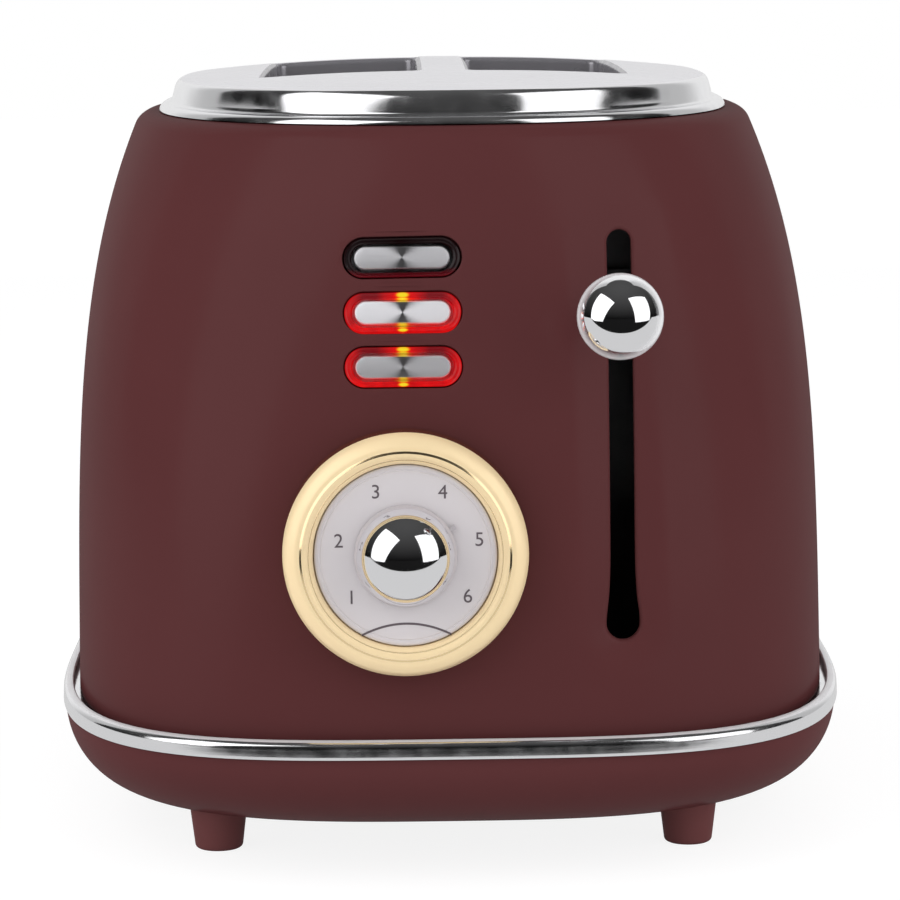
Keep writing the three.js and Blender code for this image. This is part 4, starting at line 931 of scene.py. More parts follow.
def table_white(tree):
    """White table: its shadow shows to the camera, and metal sees it end in front of the toaster."""
    path = tree.nodes.new("ShaderNodeLightPath")
    diffuse = tree.nodes.new("ShaderNodeBsdfDiffuse")
    diffuse.inputs["Color"].default_value = (0.86, 0.86, 0.87, 1.0)
    on_table = calculated(tree, "GREATER_THAN", coordinates(tree)["Y"], TABLE_END)
    seen = mixed(tree, on_table, glow(tree, 0.01), glow(tree, 0.66))
    shadowed = mixed(tree, 0.75, diffuse.outputs[0], glow(tree, 1.0, 1.16))
    glossy = calculated(tree, "MAXIMUM", path.outputs["Is Glossy Ray"], path.outputs["Is Transmission Ray"])
    base = mixed(tree, path.outputs["Is Camera Ray"], diffuse.outputs[0], shadowed)
    return mixed(tree, glossy, base, seen)


def backdrop_white(tree):
    """White sheet that metal sees grey towards its two ends."""
    path = tree.nodes.new("ShaderNodeLightPath")
    aside = calculated(tree, "ABSOLUTE", coordinates(tree)["X"])
    fading = spread(tree, aside, 0.82, 0.5, 0.7, 1.15)
    fading.node.interpolation_type = "SMOOTHSTEP"
    toned = tree.nodes.new("ShaderNodeEmission")
    tree.links.new(fading, toned.inputs["Strength"])
    shown = mixed(tree, path.outputs["Is Glossy Ray"], glow(tree, 0.5), toned.outputs[0])
    return mixed(tree, path.outputs["Is Camera Ray"], shown, glow(tree, 1.0))


class TOASTER_OT_camera(bpy.types.Operator):
    """Puts the camera where the picture was taken from"""

    bl_idname = "toaster.camera"
    bl_label = "Camera"

    # Fitted to the picture: pitch, yaw and roll in degrees, place in metres, lens and sensor in millimetres
    turns = (7.51, 0.76, 0.62)
    place = (-0.012067, -1.000361, 0.218422)
    lens, sensor = 152.94, 36

    def execute(self, context):
        pitch, yaw, roll = map(math.radians, self.turns)
        level_share = math.cos(pitch)
        forward = Vector((level_share * math.sin(yaw), level_share * math.cos(yaw), -math.sin(pitch)))
        right = forward.cross(Vector((0, 0, 1))).normalized()
        up = right.cross(forward)
        across = right * math.cos(roll) - up * math.sin(roll)
        upward = up * math.cos(roll) + right * math.sin(roll)
        data = bpy.data.cameras.new("picture_camera")
        data.sensor_width = self.sensor
        data.lens = self.lens
        camera = bpy.data.objects.new("picture_camera", data)
        turn = Matrix((across, upward, -forward)).transposed().to_4x4()
        camera.matrix_world = Matrix.Translation(self.place) @ turn
        context.scene.collection.objects.link(camera)
        context.scene.camera = camera
        return {"FINISHED"}


class TOASTER_OT_stage(bpy.types.Operator):
    """Sets up the table, the backdrop, the world and the two soft lights"""

    bl_idname = "toaster.stage"
    bl_label = "Stage"

    # For each light: its middle and three of its corners from the ball, and its power
    lights = {
        "left_softbox": ((-0.725, -0.294, 0.214), (-0.572, 0.025, 0.705), (-0.197, -0.521, 0.473),
                         (-1.252, -0.068, -0.045), 3.2),
        "right_softbox": ((0.703, -0.319, 0.205), (0.213, -0.413, 0.593), (0.903, 0.011, 0.704),
                          (0.504, -0.649, -0.294), 3.2),
    }

    # The sheet behind: its two ends in degrees, how many columns it has, its radius and its height
    sheet_ends, sheet_columns = (-56, 63), 41
    sheet_radius, sheet_height = 1.6, 3.2

    def execute(self, context):
        deselect()
        bpy.ops.mesh.primitive_plane_add(size=8)
        table = new_piece("table_top")
        table.data.materials.append(stage_material("table_white", table_white))
        self.backdrop()
        self.world(context)
        lever = context.scene.toaster_lever
        ball = Vector((lever.ball_x, lever.ball_y, lever.ball_z))
        for name, (middle, *corners, power) in self.lights.items():
            middle, first, across_end, down_end = (Vector(v) for v in (middle, *corners))
            across, down = across_end - first, down_end - first
            data = bpy.data.lights.new(name, "AREA")
            data.shape = "RECTANGLE"
            data.size, data.size_y = across.length, down.length
            data.energy = power
            away = across.cross(down).normalized()
            if away.dot(middle) < 0:
                away = -away
            across.normalize()
            light = bpy.data.objects.new(name, data)
            turn = Matrix((across, away.cross(across), away)).transposed().to_4x4()
            light.matrix_world = Matrix.Translation(ball + middle) @ turn
            context.scene.collection.objects.link(light)
        context.scene.view_settings.view_transform = "Standard"
        return {"FINISHED"}

    def backdrop(self):
        """A curved white sheet behind the table, from left to right of it."""
        turns = np.radians(np.linspace(*self.sheet_ends, self.sheet_columns + 1))
        deselect()
        bpy.ops.mesh.primitive_grid_add(x_subdivisions=self.sheet_columns, y_subdivisions=1, size=2)
        sheet = new_piece("backdrop")
        start = own_places(sheet)
        turn = turns[np.rint((start[:, 0] + 1) / 2 * self.sheet_columns).astype(int)]
        height = np.where(start[:, 1] > 0, self.sheet_height, 0.0)
        across, along = self.sheet_radius * np.sin(turn), self.sheet_radius * np.cos(turn)
        put_vertices(sheet, level(across, along, height))
        sheet.data.materials.append(stage_material("backdrop_white", backdrop_white))
        sheet.visible_camera = False

    def world(self, context):
        world = bpy.data.worlds.new("studio")
        context.scene.world = world
        world.use_nodes = True
        tree = world.node_tree
        tree.nodes.clear()
        path = tree.nodes.new("ShaderNodeLightPath")

        def light(strength):
            node = tree.nodes.new("ShaderNodeBackground")
            node.inputs[0].default_value = (1.0, 1.0, 1.0, 1.0)
            if isinstance(strength, float):
                node.inputs[1].default_value = strength
            else:
                tree.links.new(strength, node.inputs[1])
            return node.outputs[0]

        upwards = calculated(tree, "MAXIMUM", coordinates(tree, "Generated")["Z"], 0.0)
        room = calculated(tree, "MULTIPLY_ADD", upwards, 0.07, 0.005)
        rest = mixed(tree, path.outputs["Is Glossy Ray"], light(0.72), light(room))
        out = tree.nodes.new("ShaderNodeOutputWorld")
        tree.links.new(mixed(tree, path.outputs["Is Camera Ray"], rest, light(1.0)), out.inputs[0])


# Pieces


class TOASTER_OT_barrel(bpy.types.Operator):
    """Lofts the barrel and cuts the lever slot, the dial's hole and the button holes"""

    bl_idname = "toaster.barrel"
    bl_label = "Barrel"

    # The gland's hole, and for both round holes how far their cutters stand from the origin and reach
    gland_radius, gland_x, gland_z = 6.3 * MM, -40 * MM, 54 * MM
    hole_end, hole_reach = 0.15, 0.08

    def execute(self, context):
        scene = context.scene
        body, buttons, dial = scene.toaster_body, scene.toaster_buttons, scene.toaster_dial
        barrel = Barrel()
        foot = [barrel.ring(body.half_width - inset, body.bottom + rise)
                for inset, rise in rounding(body.lower_edge, 5)]
        outer = foot + barrel.wall_rings(0, 56)[1:] + barrel.shoulder_rings(0, 10)
        ledge = [barrel.ring(barrel.centre - body.ledge, barrel.rim_z),
                 barrel.ring(barrel.centre - body.ledge, barrel.rim_z - body.wall)]
        inner = barrel.wall_rings(body.wall, 16) + barrel.shoulder_rings(body.wall, 4)
        shell = tube("barrel_shell", outer + ledge + inner[::-1], around=True)
        cut(shell, self.lever_slot(barrel))
        for i in range(3):
            frame = barrel.frame(buttons.across, buttons.top - buttons.pitch * i)
            outline = pill(buttons.ring_long + GAP * 2, buttons.ring_wide + GAP * 2)
            cut(shell, rounded_hole("button_hole", outline, 0.4 * MM,
                                    lambda u, v, d, f=frame: barrel.in_frame(f, u, v, d), 6 * MM))
        front, rear = (dial.across, -self.hole_end, dial.up), (self.gland_x, self.hole_end, self.gland_z)
        cut(shell, rod_along_y("dial_hole", dial.spigot + GAP, self.hole_reach, front, 96))
        cut(shell, rod_along_y("gland_hole", self.gland_radius, self.hole_reach, rear, 96))
        finish = lacquer("body_lacquer", scene.toaster_finishes.body)
        settle(smooth(shell), "housing", "body_red", finish, "upper_shell")
        return {"FINISHED"}

    def lever_slot(self, barrel):
        lever = barrel.lever
        top, wide = lever.slot_width / 2, lever.flare_width / 2
        x, flare_top = lever.slot_x, lever.slot_bottom + lever.flare_height
        flare_bottom = lever.slot_bottom + wide
        bend = flare_bottom + wide

        def bezier(*points):
            a, b, c, d = (np.array(p) for p in points)
            for t in np.linspace(0, 1, 14)[1:-1]:
                yield a * (1 - t) ** 3 + 3 * b * t * (1 - t) ** 2 + 3 * c * t * t * (1 - t) + d * t ** 3

        points = [(x + top * math.cos(a), lever.slot_top - top + top * math.sin(a))
                  for a in np.linspace(0, math.pi, 17)]
        left = [(x - top, flare_top), (x - top, bend), (x - wide, bend), (x - wide, flare_bottom)]
        points += [left[0], *bezier(*left)]
        points += [(x + wide * math.cos(a), flare_bottom + wide * math.sin(a))
                   for a in np.linspace(math.pi, FULL_TURN, 21)]
        right = [(x + wide, flare_bottom), (x + wide, bend), (x + top, bend), (x + top, flare_top)]
        points += [*bezier(*right), right[3]]

        def place(u, v, depth):
            return np.stack([u, barrel.front(u, v) + depth, v], axis=1)

        return rounded_hole("lever_slot", filled_in(points, MM), lever.slot_edge, place, 8 * MM)


class TOASTER_OT_base(bpy.types.Operator):
    """Builds the tub with its vents and tray mouth, the polished band, the feet and the tray's pull"""

    bl_idname = "toaster.base"
    bl_label = "Base"

    corners = (("front_left", -1, -1), ("front_right", 1, -1), ("rear_left", -1, 1), ("rear_right", 1, 1))
    # The tray's runners: how far their sides stand from the tray, their two ends, their heights
    runner_sides, runner_ends, runner_heights = (
        (0.6 * MM, 2.1 * MM), (-54.5 * MM, 115.5 * MM), (11.2 * MM, 19.4 * MM))
    # A screw's recess in its post: shaft, head and mouth, how deep the head sits, the mouth's slope
    screw_radius, head_radius, mouth_radius = 2.3 * MM, 4.3 * MM, 5.1 * MM
    head_seat, mouth_slope, post_sink = 2.6 * MM, 0.4 * MM, 1.2 * MM
    vent_rows = (-78.5 * MM, 106.5 * MM)
    # The pull's finger lip: half its width, its reach, corner and end; its height, thickness and rounding
    lip_half_width, lip_reach, lip_corner, lip_end = 22 * MM, 32.4 * MM, 4 * MM, 156 * MM
    lip_rise, lip_thickness, lip_soft = 8.8 * MM, 2.4 * MM, 0.6 * MM
    pull_wall = 2.2 * MM

    def execute(self, context):
        scene = context.scene
        self.size, self.body = scene.toaster_base, scene.toaster_body
        self.back = self.body.setting_back
        # Painted light: the tub and the feet are lacquered lighter than the body
        finish = lacquer("base_lacquer_painted_light", scene.toaster_finishes.base)
        self.tub(finish)
        self.band(scene.toaster_finishes)
        self.feet(lacquer("foot_lacquer_painted_light", scene.toaster_finishes.foot))
        self.pull(scene.toaster_finishes)
        return {"FINISHED"}

    def ring(self, share, inset):
        size = self.size
        turn = share * math.pi / 2
        curl = 1 - max(math.cos(turn), 0) ** size.curve_power
        z = size.rim + (size.floor + inset - size.rim) * math.sin(turn)
        squareness = size.squareness + (size.floor_squareness - size.squareness) * share
        x, y = superellipse(size.half_width - size.side_inset * curl - inset,
                            size.half_length - size.end_inset * curl - inset, squareness, self.angles)
        return level(x, y + self.back, z)

    def filled_tub(self, inset):
        return tube("tub_form", [self.ring(share, inset) for share in np.linspace(1, 0, 28)])

    def tub(self, finish):
        size = self.size
        self.angles = even_angles(size.half_width, size.half_length, size.squareness, 3.6 * MM)
        shares = np.linspace(0, 1, 31)
        inner = [self.ring(share, size.wall) for share in shares[::-2]]
        tub = tube("lower_tub", inner + [self.ring(share, 0) for share in shares])
        for side in (-1, 1):
            sides = sorted(side * (size.tray_half_width + away) for away in self.runner_sides)
            add(tub, block("runner", *zip(sides, self.runner_ends, self.runner_heights)))
        deep = size.post_top - size.floor
        sunk, seat, mouth = deep - self.post_sink, deep - self.head_seat, deep + self.mouth_slope
        post = [(0, 0), (size.post_radius, 0), (size.post_radius, sunk), (0, sunk)]
        recess = [(0, -FAR), (self.screw_radius, -FAR), (self.screw_radius, seat), (self.head_radius, seat),
                  (self.head_radius, deep - self.mouth_slope), (self.mouth_radius, mouth), (0, mouth)]
        for _, side, end in self.corners:
            centre = (side * size.post_x, end * size.post_y + self.back, size.post_top)
            add(tub, spun_down("post", post, centre, 32))
            cut(tub, spun_down("screw_recess", recess, centre, 32))
        for i in range(4):
            for y in self.vent_rows:
                middle = ((i - 1.5) * size.vent_pitch, y)
                outline = rounded_rectangle(size.vent_width / 2, size.vent_length / 2,
                                            size.vent_width / 2.01, middle, 8, 2 * MM)
                cut(tub, rounded_hole("vent", outline, 0.5 * MM,
                                      lambda u, v, depth: level(u, v, size.floor + depth), 6 * MM))
        reach = size.tray_half_width + GAP
        cut(tub, block("tray_mouth", (-reach, self.back, size.floor + size.wall),
                       (reach, REAR, size.floor + size.wall + size.pull_height + GAP * 2)))
        settle(smooth(tub), "housing", "base_red", finish, "base_tub")

    def band(self, finishes):
        size = self.size
        angles = even_angles(size.band_half_width, size.band_half_length, size.squareness, 3.4 * MM)
        edge, high, small = size.band_edge, size.band_height, 0.3 * MM
        seat, slant = high - size.band_rebate, size.band_slant
        face = [(0, edge), (slant * 0.05, high * 0.45), (slant * 0.15, high * 0.74),
                (slant * 0.62, high - edge * 0.9), (slant + edge * 0.2, high - edge * 0.3),
                (slant + edge, high)]
        profile = [(size.band_depth, small), (size.band_depth - small, 0), *rounding(edge, 6)[:-1],
                   *curve_through(face, 4), (size.band_rim - small, high), (size.band_rim, high - small),
                   (size.band_rim, seat), (size.band_depth, seat)]
        rings = []
        for inset, rise in profile:
            x, y = superellipse(size.band_half_width - inset, size.band_half_length - inset,
                                size.squareness, angles)
            rings.append(level(x, y + self.back, size.band_bottom + rise))
        band = smooth(tube("bright_band", rings, around=True))
        settle(band, "housing", "band_chrome", polished("band_polish", finishes.chrome, 0.13), "trim_band")
        edge_z = size.band_bottom + high - edge * 0.7

        # The band's upper edge and inner faces take the pale finish: a painted highlight along the top
        def pale(face):
            x, y, z = face.center
            return face.normal.x * x + face.normal.y * (y - self.back) < 0 or z > edge_z

        paint(band, pale, plated("band_edge", finishes.rolled, 0.35, 0.4))

    def feet(self, finish):
        size = self.size
        deep, edge, top = size.floor, size.foot_edge, -3 * MM
        grow = (size.foot_top - size.foot_tip) / deep
        profile = [(0, deep), *((size.foot_tip - inset, deep - rise) for inset, rise in rounding(edge, 6)),
                   (size.foot_tip + grow * (deep - top), top), (0, top)]
        for name, side, end in self.corners:
            centre = (side * size.foot_x, end * size.foot_y + self.back, size.floor)
            foot = cut(spun_down("stub_" + name, profile, centre, 48), self.filled_tub(-GAP))
            settle(smooth(foot), "housing", "base_red", finish, "foot_" + name)

    def pull(self, finishes):
        size = self.size
        half, bottom = size.tray_half_width, size.floor + size.wall + GAP
        top, wall = bottom + size.pull_height, self.pull_wall
        pull = block("tray_handle", (-half, size.pull_front, bottom), (half, REAR, top))
        combine(pull, self.filled_tub(0), "INTERSECT")
        pocket = block("pocket", (-half + wall, size.pull_front - FAR, bottom + wall),
                       (half - wall, REAR, top + FAR))
        cut(pull, combine(pocket, self.filled_tub(wall), "INTERSECT"))
        outline = rounded_rectangle(self.lip_half_width, self.lip_reach, self.lip_corner,
                                    (0, size.pull_front), 8, 2 * MM)
        low, soft = size.floor + self.lip_rise, self.lip_soft
        high = low + self.lip_thickness
        rings = [level(*outset(*outline, -soft), low), level(*outline, low + soft),
                 level(*outline, high - soft), level(*outset(*outline, -soft), high)]
        behind = block("behind", (-half, size.pull_front, 0), (half, self.lip_end, top))
        lip = combine(tube("lip", rings), behind, "INTERSECT")
        add(pull, cut(lip, self.filled_tub(MM)))
        settle(smooth(pull), "tray", "black_plastic", moulded("handle_plastic", finishes.black), "tray_pull")


class TOASTER_OT_top(bpy.types.Operator):
    """Builds the domed top plate with its polished bevel and the drawn bread slots"""

    bl_idname = "toaster.top"
    bl_label = "Top plate"

    bevel_shares = ((0, 0), (0.14, 0.26), (0.3, 0.52), (0.5, 0.78), (0.74, 0.93), (1, 1))

    def execute(self, context):
        scene = context.scene
        size, back = scene.toaster_plate, scene.toaster_body.setting_back
        bottom = Barrel().rim_z + GAP
        angles = even_angles(size.half_width, size.half_width + size.extra, 2.4, 3.0 * MM)
        lip_top = bottom + size.lip_height
        step = size.half_width - size.lip_step
        foot_z = lip_top + size.step_rise
        edge_half = step - size.bevel_inset
        edge_z = foot_z + size.bevel_rise
        rim_power = scene.toaster_body.rim_squareness

        def ring(half, z, squareness=rim_power):
            x, y = superellipse(half, half + size.extra, squareness, angles)
            return level(x, y + back, z)

        def dome(half, share, z):
            x, y = superellipse(half * share, (half + size.extra) * share, size.squareness, angles)
            return level(x, y + back, z + size.dome_rise * (1 - share ** 2))

        roll, small, wall = size.lip_roll, 0.3 * MM, size.wall
        outer = [ring(size.half_width, bottom)]
        outer += [ring(size.half_width - roll * (1 - math.cos(a)), lip_top - roll * (1 - math.sin(a)))
                  for a in np.linspace(0.14, math.pi / 2, 9)]
        outer += [ring(step + out, lip_top + rise) for out, rise in rounding(size.step_rise, 6)]
        for inwards, rise in curve_through(self.bevel_shares, 3)[1:]:
            outer.append(ring(step + (edge_half - step) * inwards, foot_z + (edge_z - foot_z) * rise,
                              rim_power + (size.squareness - rim_power) * rise))
        outer += [dome(edge_half, share, edge_z) for share in np.linspace(0.985, 0.02, 30)]
        inner = [dome(edge_half - wall, share, edge_z - wall) for share in np.linspace(0.02, 1, 16)]
        inside = size.half_width - wall * 1.4
        inner += [ring(step - wall, lip_top - wall), ring(inside, lip_top - wall), ring(inside, bottom)]
        plate = tube("top_cover", inner + outer)

        def height(u, v):
            power = size.squareness
            share = (np.abs(u) / edge_half) ** power + (np.abs(v - back) / (edge_half + size.extra)) ** power
            return edge_z + size.dome_rise * (1 - share ** (2 / power))

        outlines = [rounded_rectangle(size.slot_width / 2, size.slot_length / 2, size.slot_corner,
                                      (side * (size.bridge + size.slot_width) / 2, size.slot_middle + back),
                                      8, 3 * MM) for side in (-1, 1)]
        for outline in outlines:
            around = outset(*outline, size.collar_wall)
            add(plate, tube("collar", [level(*around, edge_z - size.collar),
                                       level(*around, edge_z + size.dome_rise / 3)]))
        for outline in outlines:
            cut(plate, rounded_hole("slot", outline, size.slot_roll,
                                    lambda u, v, depth: level(u, v, height(u, v) - depth), FAR))
        finishes = scene.toaster_finishes
        settle(smooth(plate), "housing", "satin_steel",
               satin_metal("top_satin", finishes.satin, (0.02, 1, 1), 0.3), "top_plate")
        slot_x = (size.bridge + size.slot_width) / 2
        reach_x, reach_y = size.slot_width / 2 + size.slot_roll, size.slot_length / 2 + size.slot_roll

        def finish_of(face):
            x, y, z = face.center
            by_slot = abs(abs(x) - slot_x) < reach_x and abs(y - size.slot_middle - back) < reach_y
            steep = face.normal.z < 0.93
            return 2 if by_slot and steep else steep or z < edge_z - small

        paint(plate, finish_of, polished("bevel_polish", finishes.chrome, 0.14),
              plated("slot_wall", finishes.slot_wall, 0.55, 0.25))
        return {"FINISHED"}


class TOASTER_OT_lever(bpy.types.Operator):
    """Builds the chrome ball on the lever's arm"""

    bl_idname = "toaster.lever"
    bl_label = "Lever ball"

    def execute(self, context):
        scene = context.scene
        size = scene.toaster_lever
        centre = (size.ball_x, size.ball_y, size.ball_z)
        half = [(size.ball * math.sin(a), size.ball * math.cos(a)) for a in np.linspace(0, math.pi, 41)]
        half[0], half[-1] = (0, size.ball), (0, -size.ball)
        ball = spun("lever_ball", half, centre, 64)
        wide, high = size.arm_width / 2 + GAP, size.arm_height / 2 + GAP
        x, z = size.slot_x, size.ball_z - 0.5 * MM
        cut(ball, block("arm_bore", (x - wide, size.ball_y - GAP, z - high),
                        (x + wide, size.ball_y + FAR, z + high)))
        # The ball's pale rim is a painted reflection
        finish = painted_rim_reflection("ball_polish_painted_rim", scene.toaster_finishes.chrome, 0.05)
        settle(smooth(ball), "lever", "knob_chrome", finish, "lever_knob")
        return {"FINISHED"}


class TOASTER_OT_buttons(bpy.types.Operator):
    """Builds the three push buttons and the light rings round them"""

    bl_idname = "toaster.push_buttons"
    bl_label = "Buttons"

    flange_long, flange_wide, flange_thickness = 26 * MM, 7 * MM, 1.5 * MM
    shank_half_width, shank_half_height, shank_length = 2.5 * MM, 1.45 * MM, 8 * MM
    # A light ring's surface: share of the way from its outer to its inner edge, and millimetres down
    surface = ((0, 0.35), (0.05, 0.12), (0.16, 0.0), (0.3, 0.1), (0.42, 0.42), (0.56, 0.9), (0.75, 1.25),
               (1, 1.35))

    def execute(self, context):
        scene = context.scene
        size, finishes = scene.toaster_buttons, scene.toaster_finishes
        barrel = Barrel()
        for i, name in enumerate(("defrost", "reheat", "cancel")):
            frame = barrel.frame(size.across, size.top - size.pitch * i)
            self.button(name, size, barrel, frame, finishes)
            self.light_ring(name, size, barrel, frame, finishes, lit=i > 0)
        return {"FINISHED"}

    def button(self, name, size, barrel, frame, finishes):
        back = size.ring_depth + GAP
        rows = ((0, back + 0.75 * MM), (0, size.recess + 0.6 * MM), (0.08 * MM, size.recess + 0.3 * MM),
                (0.28 * MM, size.recess + 0.08 * MM), (0.6 * MM, size.recess), (2.4 * MM, size.recess))
        rings = [barrel.flat_in_frame(frame, *pill(size.long - inset * 2, size.wide - inset * 2, 28), down)
                 for inset, down in rows]
        cap = tube(name + "_cap", rings)
        flange = tube("flange", [barrel.flat_in_frame(frame, *pill(self.flange_long, self.flange_wide), down)
                                 for down in (back, back + self.flange_thickness)])
        wide, high = self.shank_half_width, self.shank_half_height
        shank = block("shank", (-wide, back + MM, -high), (wide, back + self.shank_length, high))
        shank.data.transform(frame)
        add(cap, flange, shank)
        settle(smooth(cap), name, "satin_steel", turned_pill(name, finishes, frame), name + "_button")

    def light_ring(self, name, size, barrel, frame, finishes, lit):
        bore_long, bore_wide = size.long + size.ring_bore * 2, size.wide + size.ring_bore * 2

        def row(share, down, spot=barrel.in_frame):
            outline = pill(size.ring_long + (bore_long - size.ring_long) * share,
                           size.ring_wide + (bore_wide - size.ring_wide) * share, 28)
            return spot(frame, *outline, down)

        rings = [row(0, size.ring_depth, barrel.flat_in_frame),
                 *(row(share, down * MM) for share, down in self.surface),
                 row(1, size.ring_depth, barrel.flat_in_frame)]
        lens = smooth(tube(name + "_lens", rings, around=True), math.radians(40))
        material = lit_lens(name, finishes, frame) if lit else unlit_lens(name, finishes, frame)
        settle(lens, "housing", "red_lens" if lit else "unlit_lens", material, name + "_light_ring")


class TOASTER_OT_dial(bpy.types.Operator):
    """Builds the gold ring, the grey face with its figures and the chrome knob"""

    bl_idname = "toaster.dial"
    bl_label = "Browning dial"

    figure_turns = (-126, -78, -27, 28.5, 78, 126)
    # The gold ring's section in three curves, as shares of its width from the throat and of its rise
    lip_shares = ((0, 0.76), (0.03, 0.84), (0.1, 0.9), (0.13, 0.905))
    crest_shares = ((0.16, 0.93), (0.24, 0.975), (0.32, 1), (0.36, 1))
    brow_shares = ((0.43, 0.952), (0.6, 0.92), (0.84, 0.78), (0.96, 0.6), (1, 0.44))
    # Where its width is polished: beside the crest and at its outer edge
    polished_shares = ((0.13, 0.16), (0.36, 0.43), (0.97, 2))
    ring_bore, ring_web, ring_seat, ring_end, spigot_wall = 6 * MM, 1.8 * MM, 6.2 * MM, 8.5 * MM, 2 * MM
    face_bore, groove, shaft_bore, bore_depth = 4 * MM, 0.12 * MM, 3.3 * MM, 5.2 * MM
    pointer_half, pointer_rise, pointer_reach, pointer_turn = 0.5 * MM, 0.7 * MM, 1.5 * MM, 60
    # The printed arch: half its span, its place below the knob, its drop and half its thickness
    arch_reach, arch_low, arch_drop, arch_half = 10.3 * MM, 15.8 * MM, 2.6 * MM, 0.26 * MM

    def execute(self, context):
        scene = context.scene
        size, finishes = scene.toaster_dial, scene.toaster_finishes
        barrel = Barrel()
        front = scene.toaster_body.setting_back - barrel.end(size.across, size.up)
        self.centre = (size.across, front, size.up)
        self.ring(size, finishes, barrel)
        self.face(size, finishes)
        self.knob(size, finishes)
        return {"FINISHED"}

    def ring(self, size, finishes, barrel):
        width = size.bezel - size.throat
        floor = size.face_back - GAP
        under, inner = floor - self.ring_web, size.spigot - self.spigot_wall
        curves = (self.lip_shares, self.crest_shares, self.brow_shares)
        top = [(size.throat + width * out, size.rise * rise)
               for shares in curves for out, rise in curve_through(shares, 4)]
        profile = [(self.ring_bore, floor), (size.throat, floor), *top, (size.bezel, -self.ring_seat),
                   (size.spigot, -self.ring_seat), (size.spigot, -self.ring_end), (inner, -self.ring_end),
                   (inner, under), (self.ring_bore, under)]
        ring = spun("dial_ring", profile, self.centre, 128, closed=True)
        spigot = rod_along_y("spigot_zone", size.spigot, FAR, self.centre, 128)
        cut(ring, cut(barrel.filled(GAP), spigot))
        smooth(ring, math.radians(38))
        settle(ring, "housing", "gold_trim", plated("dial_gold", finishes.gold, 0.15, 0.36), "dial_bezel")
        x, _, z = self.centre

        def bright(face):
            out = (math.hypot(face.center.x - x, face.center.z - z) - size.throat) / width
            return any(low < out < high for low, high in self.polished_shares)

        paint(ring, bright, polished("dial_gold_edge", finishes.gold, 0.12))

    def face(self, size, finishes):
        outer = size.throat - GAP
        back, front = size.face_back, size.face_back + size.face_depth
        line, low = outer * 0.94, front - self.groove
        profile = [(self.face_bore, back), (outer, back), (outer, front - 0.25 * MM),
                   (outer - 0.2 * MM, front - 0.05 * MM), (outer - 0.4 * MM, front),
                   (line + 0.25 * MM, front), (line + 0.1 * MM, low), (line - 0.1 * MM, low),
                   (line - 0.25 * MM, front), (self.face_bore, front)]
        face = smooth(spun("dial_card", profile, self.centre, 96, closed=True))
        settle(face, "housing", "dial_grey", dial_card(finishes), "dial_face")
        pieces = [self.arch_line(front)]
        for i, turn in enumerate(self.figure_turns):
            angle = math.radians(turn)
            spot = Vector(self.centre) + Vector((
                size.figure_shift + size.figure_radius * math.sin(angle), -front - 0.02 * MM,
                size.figure_radius * math.cos(angle)))
            deselect()
            bpy.ops.object.text_add(location=spot, rotation=(math.pi / 2, 0, 0))
            text = bpy.context.active_object
            text.data.body = str(i + 1)
            text.data.size = size.figure_height / 0.72
            text.data.align_x, text.data.align_y = "CENTER", "CENTER"
            text.data.extrude = 0.03 * MM
            bpy.ops.object.convert(target="MESH")
            pieces.append(new_piece("figure"))
        figures = joined("dial_figures", *pieces)
        settle(figures, "housing", "dial_grey", moulded("dial_print", finishes.figures))

    def arch_line(self, front):
        """The thin arch printed under the knob."""
        turns = np.linspace(-1, 1, 33)
        u, v = self.arch_reach * turns, -self.arch_low - self.arch_drop * turns ** 2
        v = np.concatenate([v - self.arch_half, (v + self.arch_half)[::-1]])
        u = np.concatenate([u, u[::-1]])
        x, y, z = self.centre
        return tube("arch_line", [np.stack([x + u, np.full(len(u), y - front + depth), z + v], axis=1)
                                  for depth in (0.02 * MM, -0.05 * MM)])

    def knob(self, size, finishes):
        base = size.face_back + size.face_depth + GAP
        rise = base + 1.6 * MM
        bottom = base + self.bore_depth
        profile = [(0, bottom), (self.shaft_bore, bottom), (self.shaft_bore, base),
                   (size.collar - 0.2 * MM, base), (size.collar, base + 0.2 * MM),
                   (size.collar, base + 0.9 * MM),
                   (size.collar - 0.2 * MM, base + 1.15 * MM), (size.dome + 0.2 * MM, base + 1.3 * MM),
                   (size.dome + 0.05 * MM, base + 1.45 * MM)]
        power = 2 / size.dome_fullness
        profile += [(size.dome * math.cos(a) ** power, rise + size.dome_height * math.sin(a) ** power)
                    for a in np.linspace(0, math.pi / 2, 34)[:-1]]
        profile.append((0, rise + size.dome_height))
        knob = spun("browning_dome", profile, self.centre, 128)
        x, y, z = self.centre
        pointer = block("pointer", (x - self.pointer_half, y - base - self.pointer_rise, z + size.dome),
                        (x + self.pointer_half, y - base, z + size.collar + self.pointer_reach))
        add(knob, turned(pointer, self.centre, math.radians(self.pointer_turn), "Y"))
        finish = polished("knob_polish", finishes.chrome, 0.05)
        settle(smooth(knob), "browning_control", "knob_chrome", finish, "browning_knob")
        paint(knob, lambda face: y - face.center.y < rise, moulded("collar_grey", finishes.collar, 0.4))


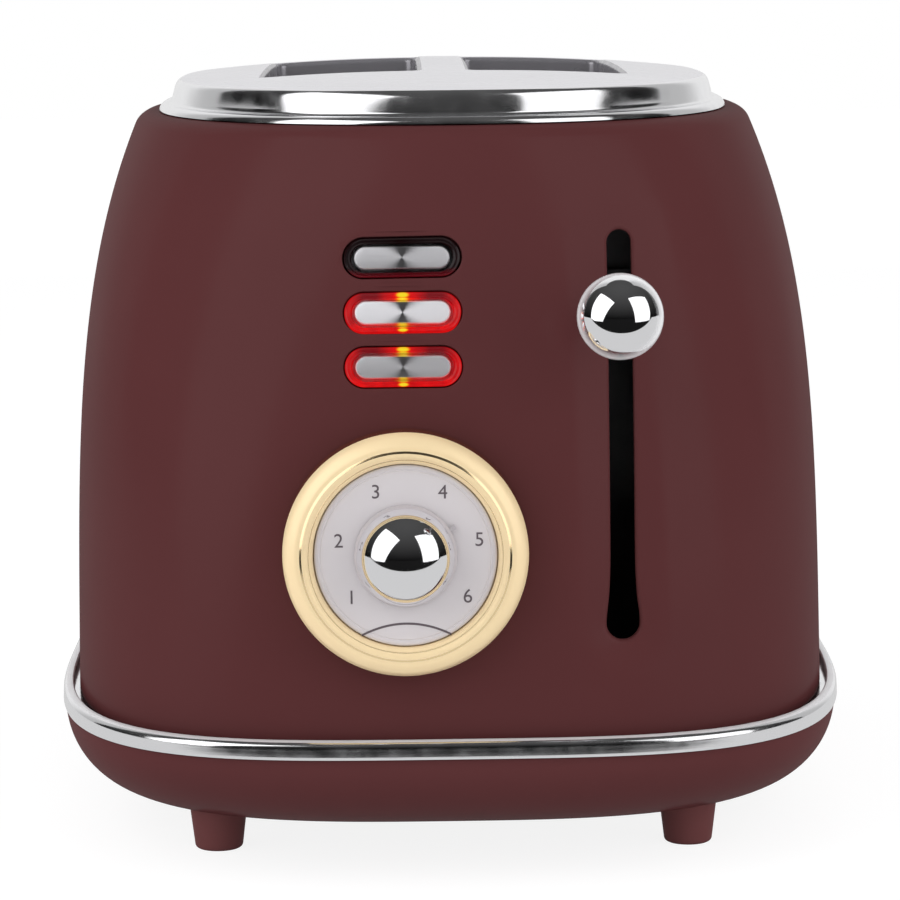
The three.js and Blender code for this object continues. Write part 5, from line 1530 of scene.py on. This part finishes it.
class TOASTER_OT_inside(bpy.types.Operator):
    """Gives the carried-over inner parts their finishes"""

    bl_idname = "toaster.inside"
    bl_label = "Inner parts"

    def execute(self, context):
        tones = context.scene.toaster_finishes
        sides = ("left", "right")
        named = {
            sheet_metal("inner_steel", tones.steel, 0.36): (
                "lever_arm", "chassis_front", "chassis_rear", "guide_rod", "return_spring", "knob_shaft",
                "carriage", *(kind + side for kind in ("side_plate_", "bread_rack_") for side in sides),
                *("bread_guide_" + side + place for side in sides for place in ("_outer", "_inner"))),
            sheet_metal("zinc_sheet", tones.zinc, 0.45): (
                "chassis_base", "crumb_tray", "potentiometer",
                *("base_screw_" + end + side for end in ("front_", "rear_") for side in sides)),
            sheet_metal("dark_steel", tones.dark_steel, 0.5): ("magnet_core", "armature"),
            layered_board("mica_board", tones.mica): ("heater_left", "heater_centre", "heater_right"),
            moulded("black_moulding", tones.black): (
                "lever_shroud", "cord_gland", "defrost_switch", "reheat_switch", "cancel_switch"),
            moulded("circuit_board", tones.circuit, 0.4): ("control_board", "button_board", "power_board"),
            sheet_metal("copper_winding", tones.copper, 0.35): ("magnet_coil",),
        }
        for material, nodes in named.items():
            for node in nodes:
                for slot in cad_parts[node].material_slots:
                    slot.material = material
        return {"FINISHED"}


OPERATORS = (
    TOASTER_OT_camera, TOASTER_OT_stage, TOASTER_OT_barrel, TOASTER_OT_base, TOASTER_OT_top,
    TOASTER_OT_lever, TOASTER_OT_buttons, TOASTER_OT_dial, TOASTER_OT_inside,
)


class TOASTER_PT_panel(bpy.types.Panel):
    """Lists the toaster's pieces and sizes"""

    bl_label = "Toaster"
    bl_idname = "TOASTER_PT_panel"
    bl_space_type = "VIEW_3D"
    bl_region_type = "UI"
    bl_category = "Toaster"

    def draw(self, context):
        for operator in OPERATORS:
            self.layout.operator(operator.bl_idname)
        for name, group in SETTINGS.items():
            box = self.layout.box()
            for key in group.__annotations__:
                box.prop(getattr(context.scene, name), key)


CLASSES = (*SETTINGS.values(), *OPERATORS, TOASTER_PT_panel)


def register():
    for group in SETTINGS.values():
        for key, prop in group.__annotations__.items():
            prop.keywords["name"] = key.replace("_", " ").capitalize()
    for cls in CLASSES:
        bpy.utils.register_class(cls)
    for name, group in SETTINGS.items():
        setattr(bpy.types.Scene, name, bpy.props.PointerProperty(type=group))


def unregister():
    for name in SETTINGS:
        delattr(bpy.types.Scene, name)
    for cls in reversed(CLASSES):
        bpy.utils.unregister_class(cls)


def main():
    register()
    for operator in OPERATORS:
        group, name = operator.bl_idname.split(".")
        getattr(getattr(bpy.ops, group), name)()


if __name__ == "__main__":
    main()
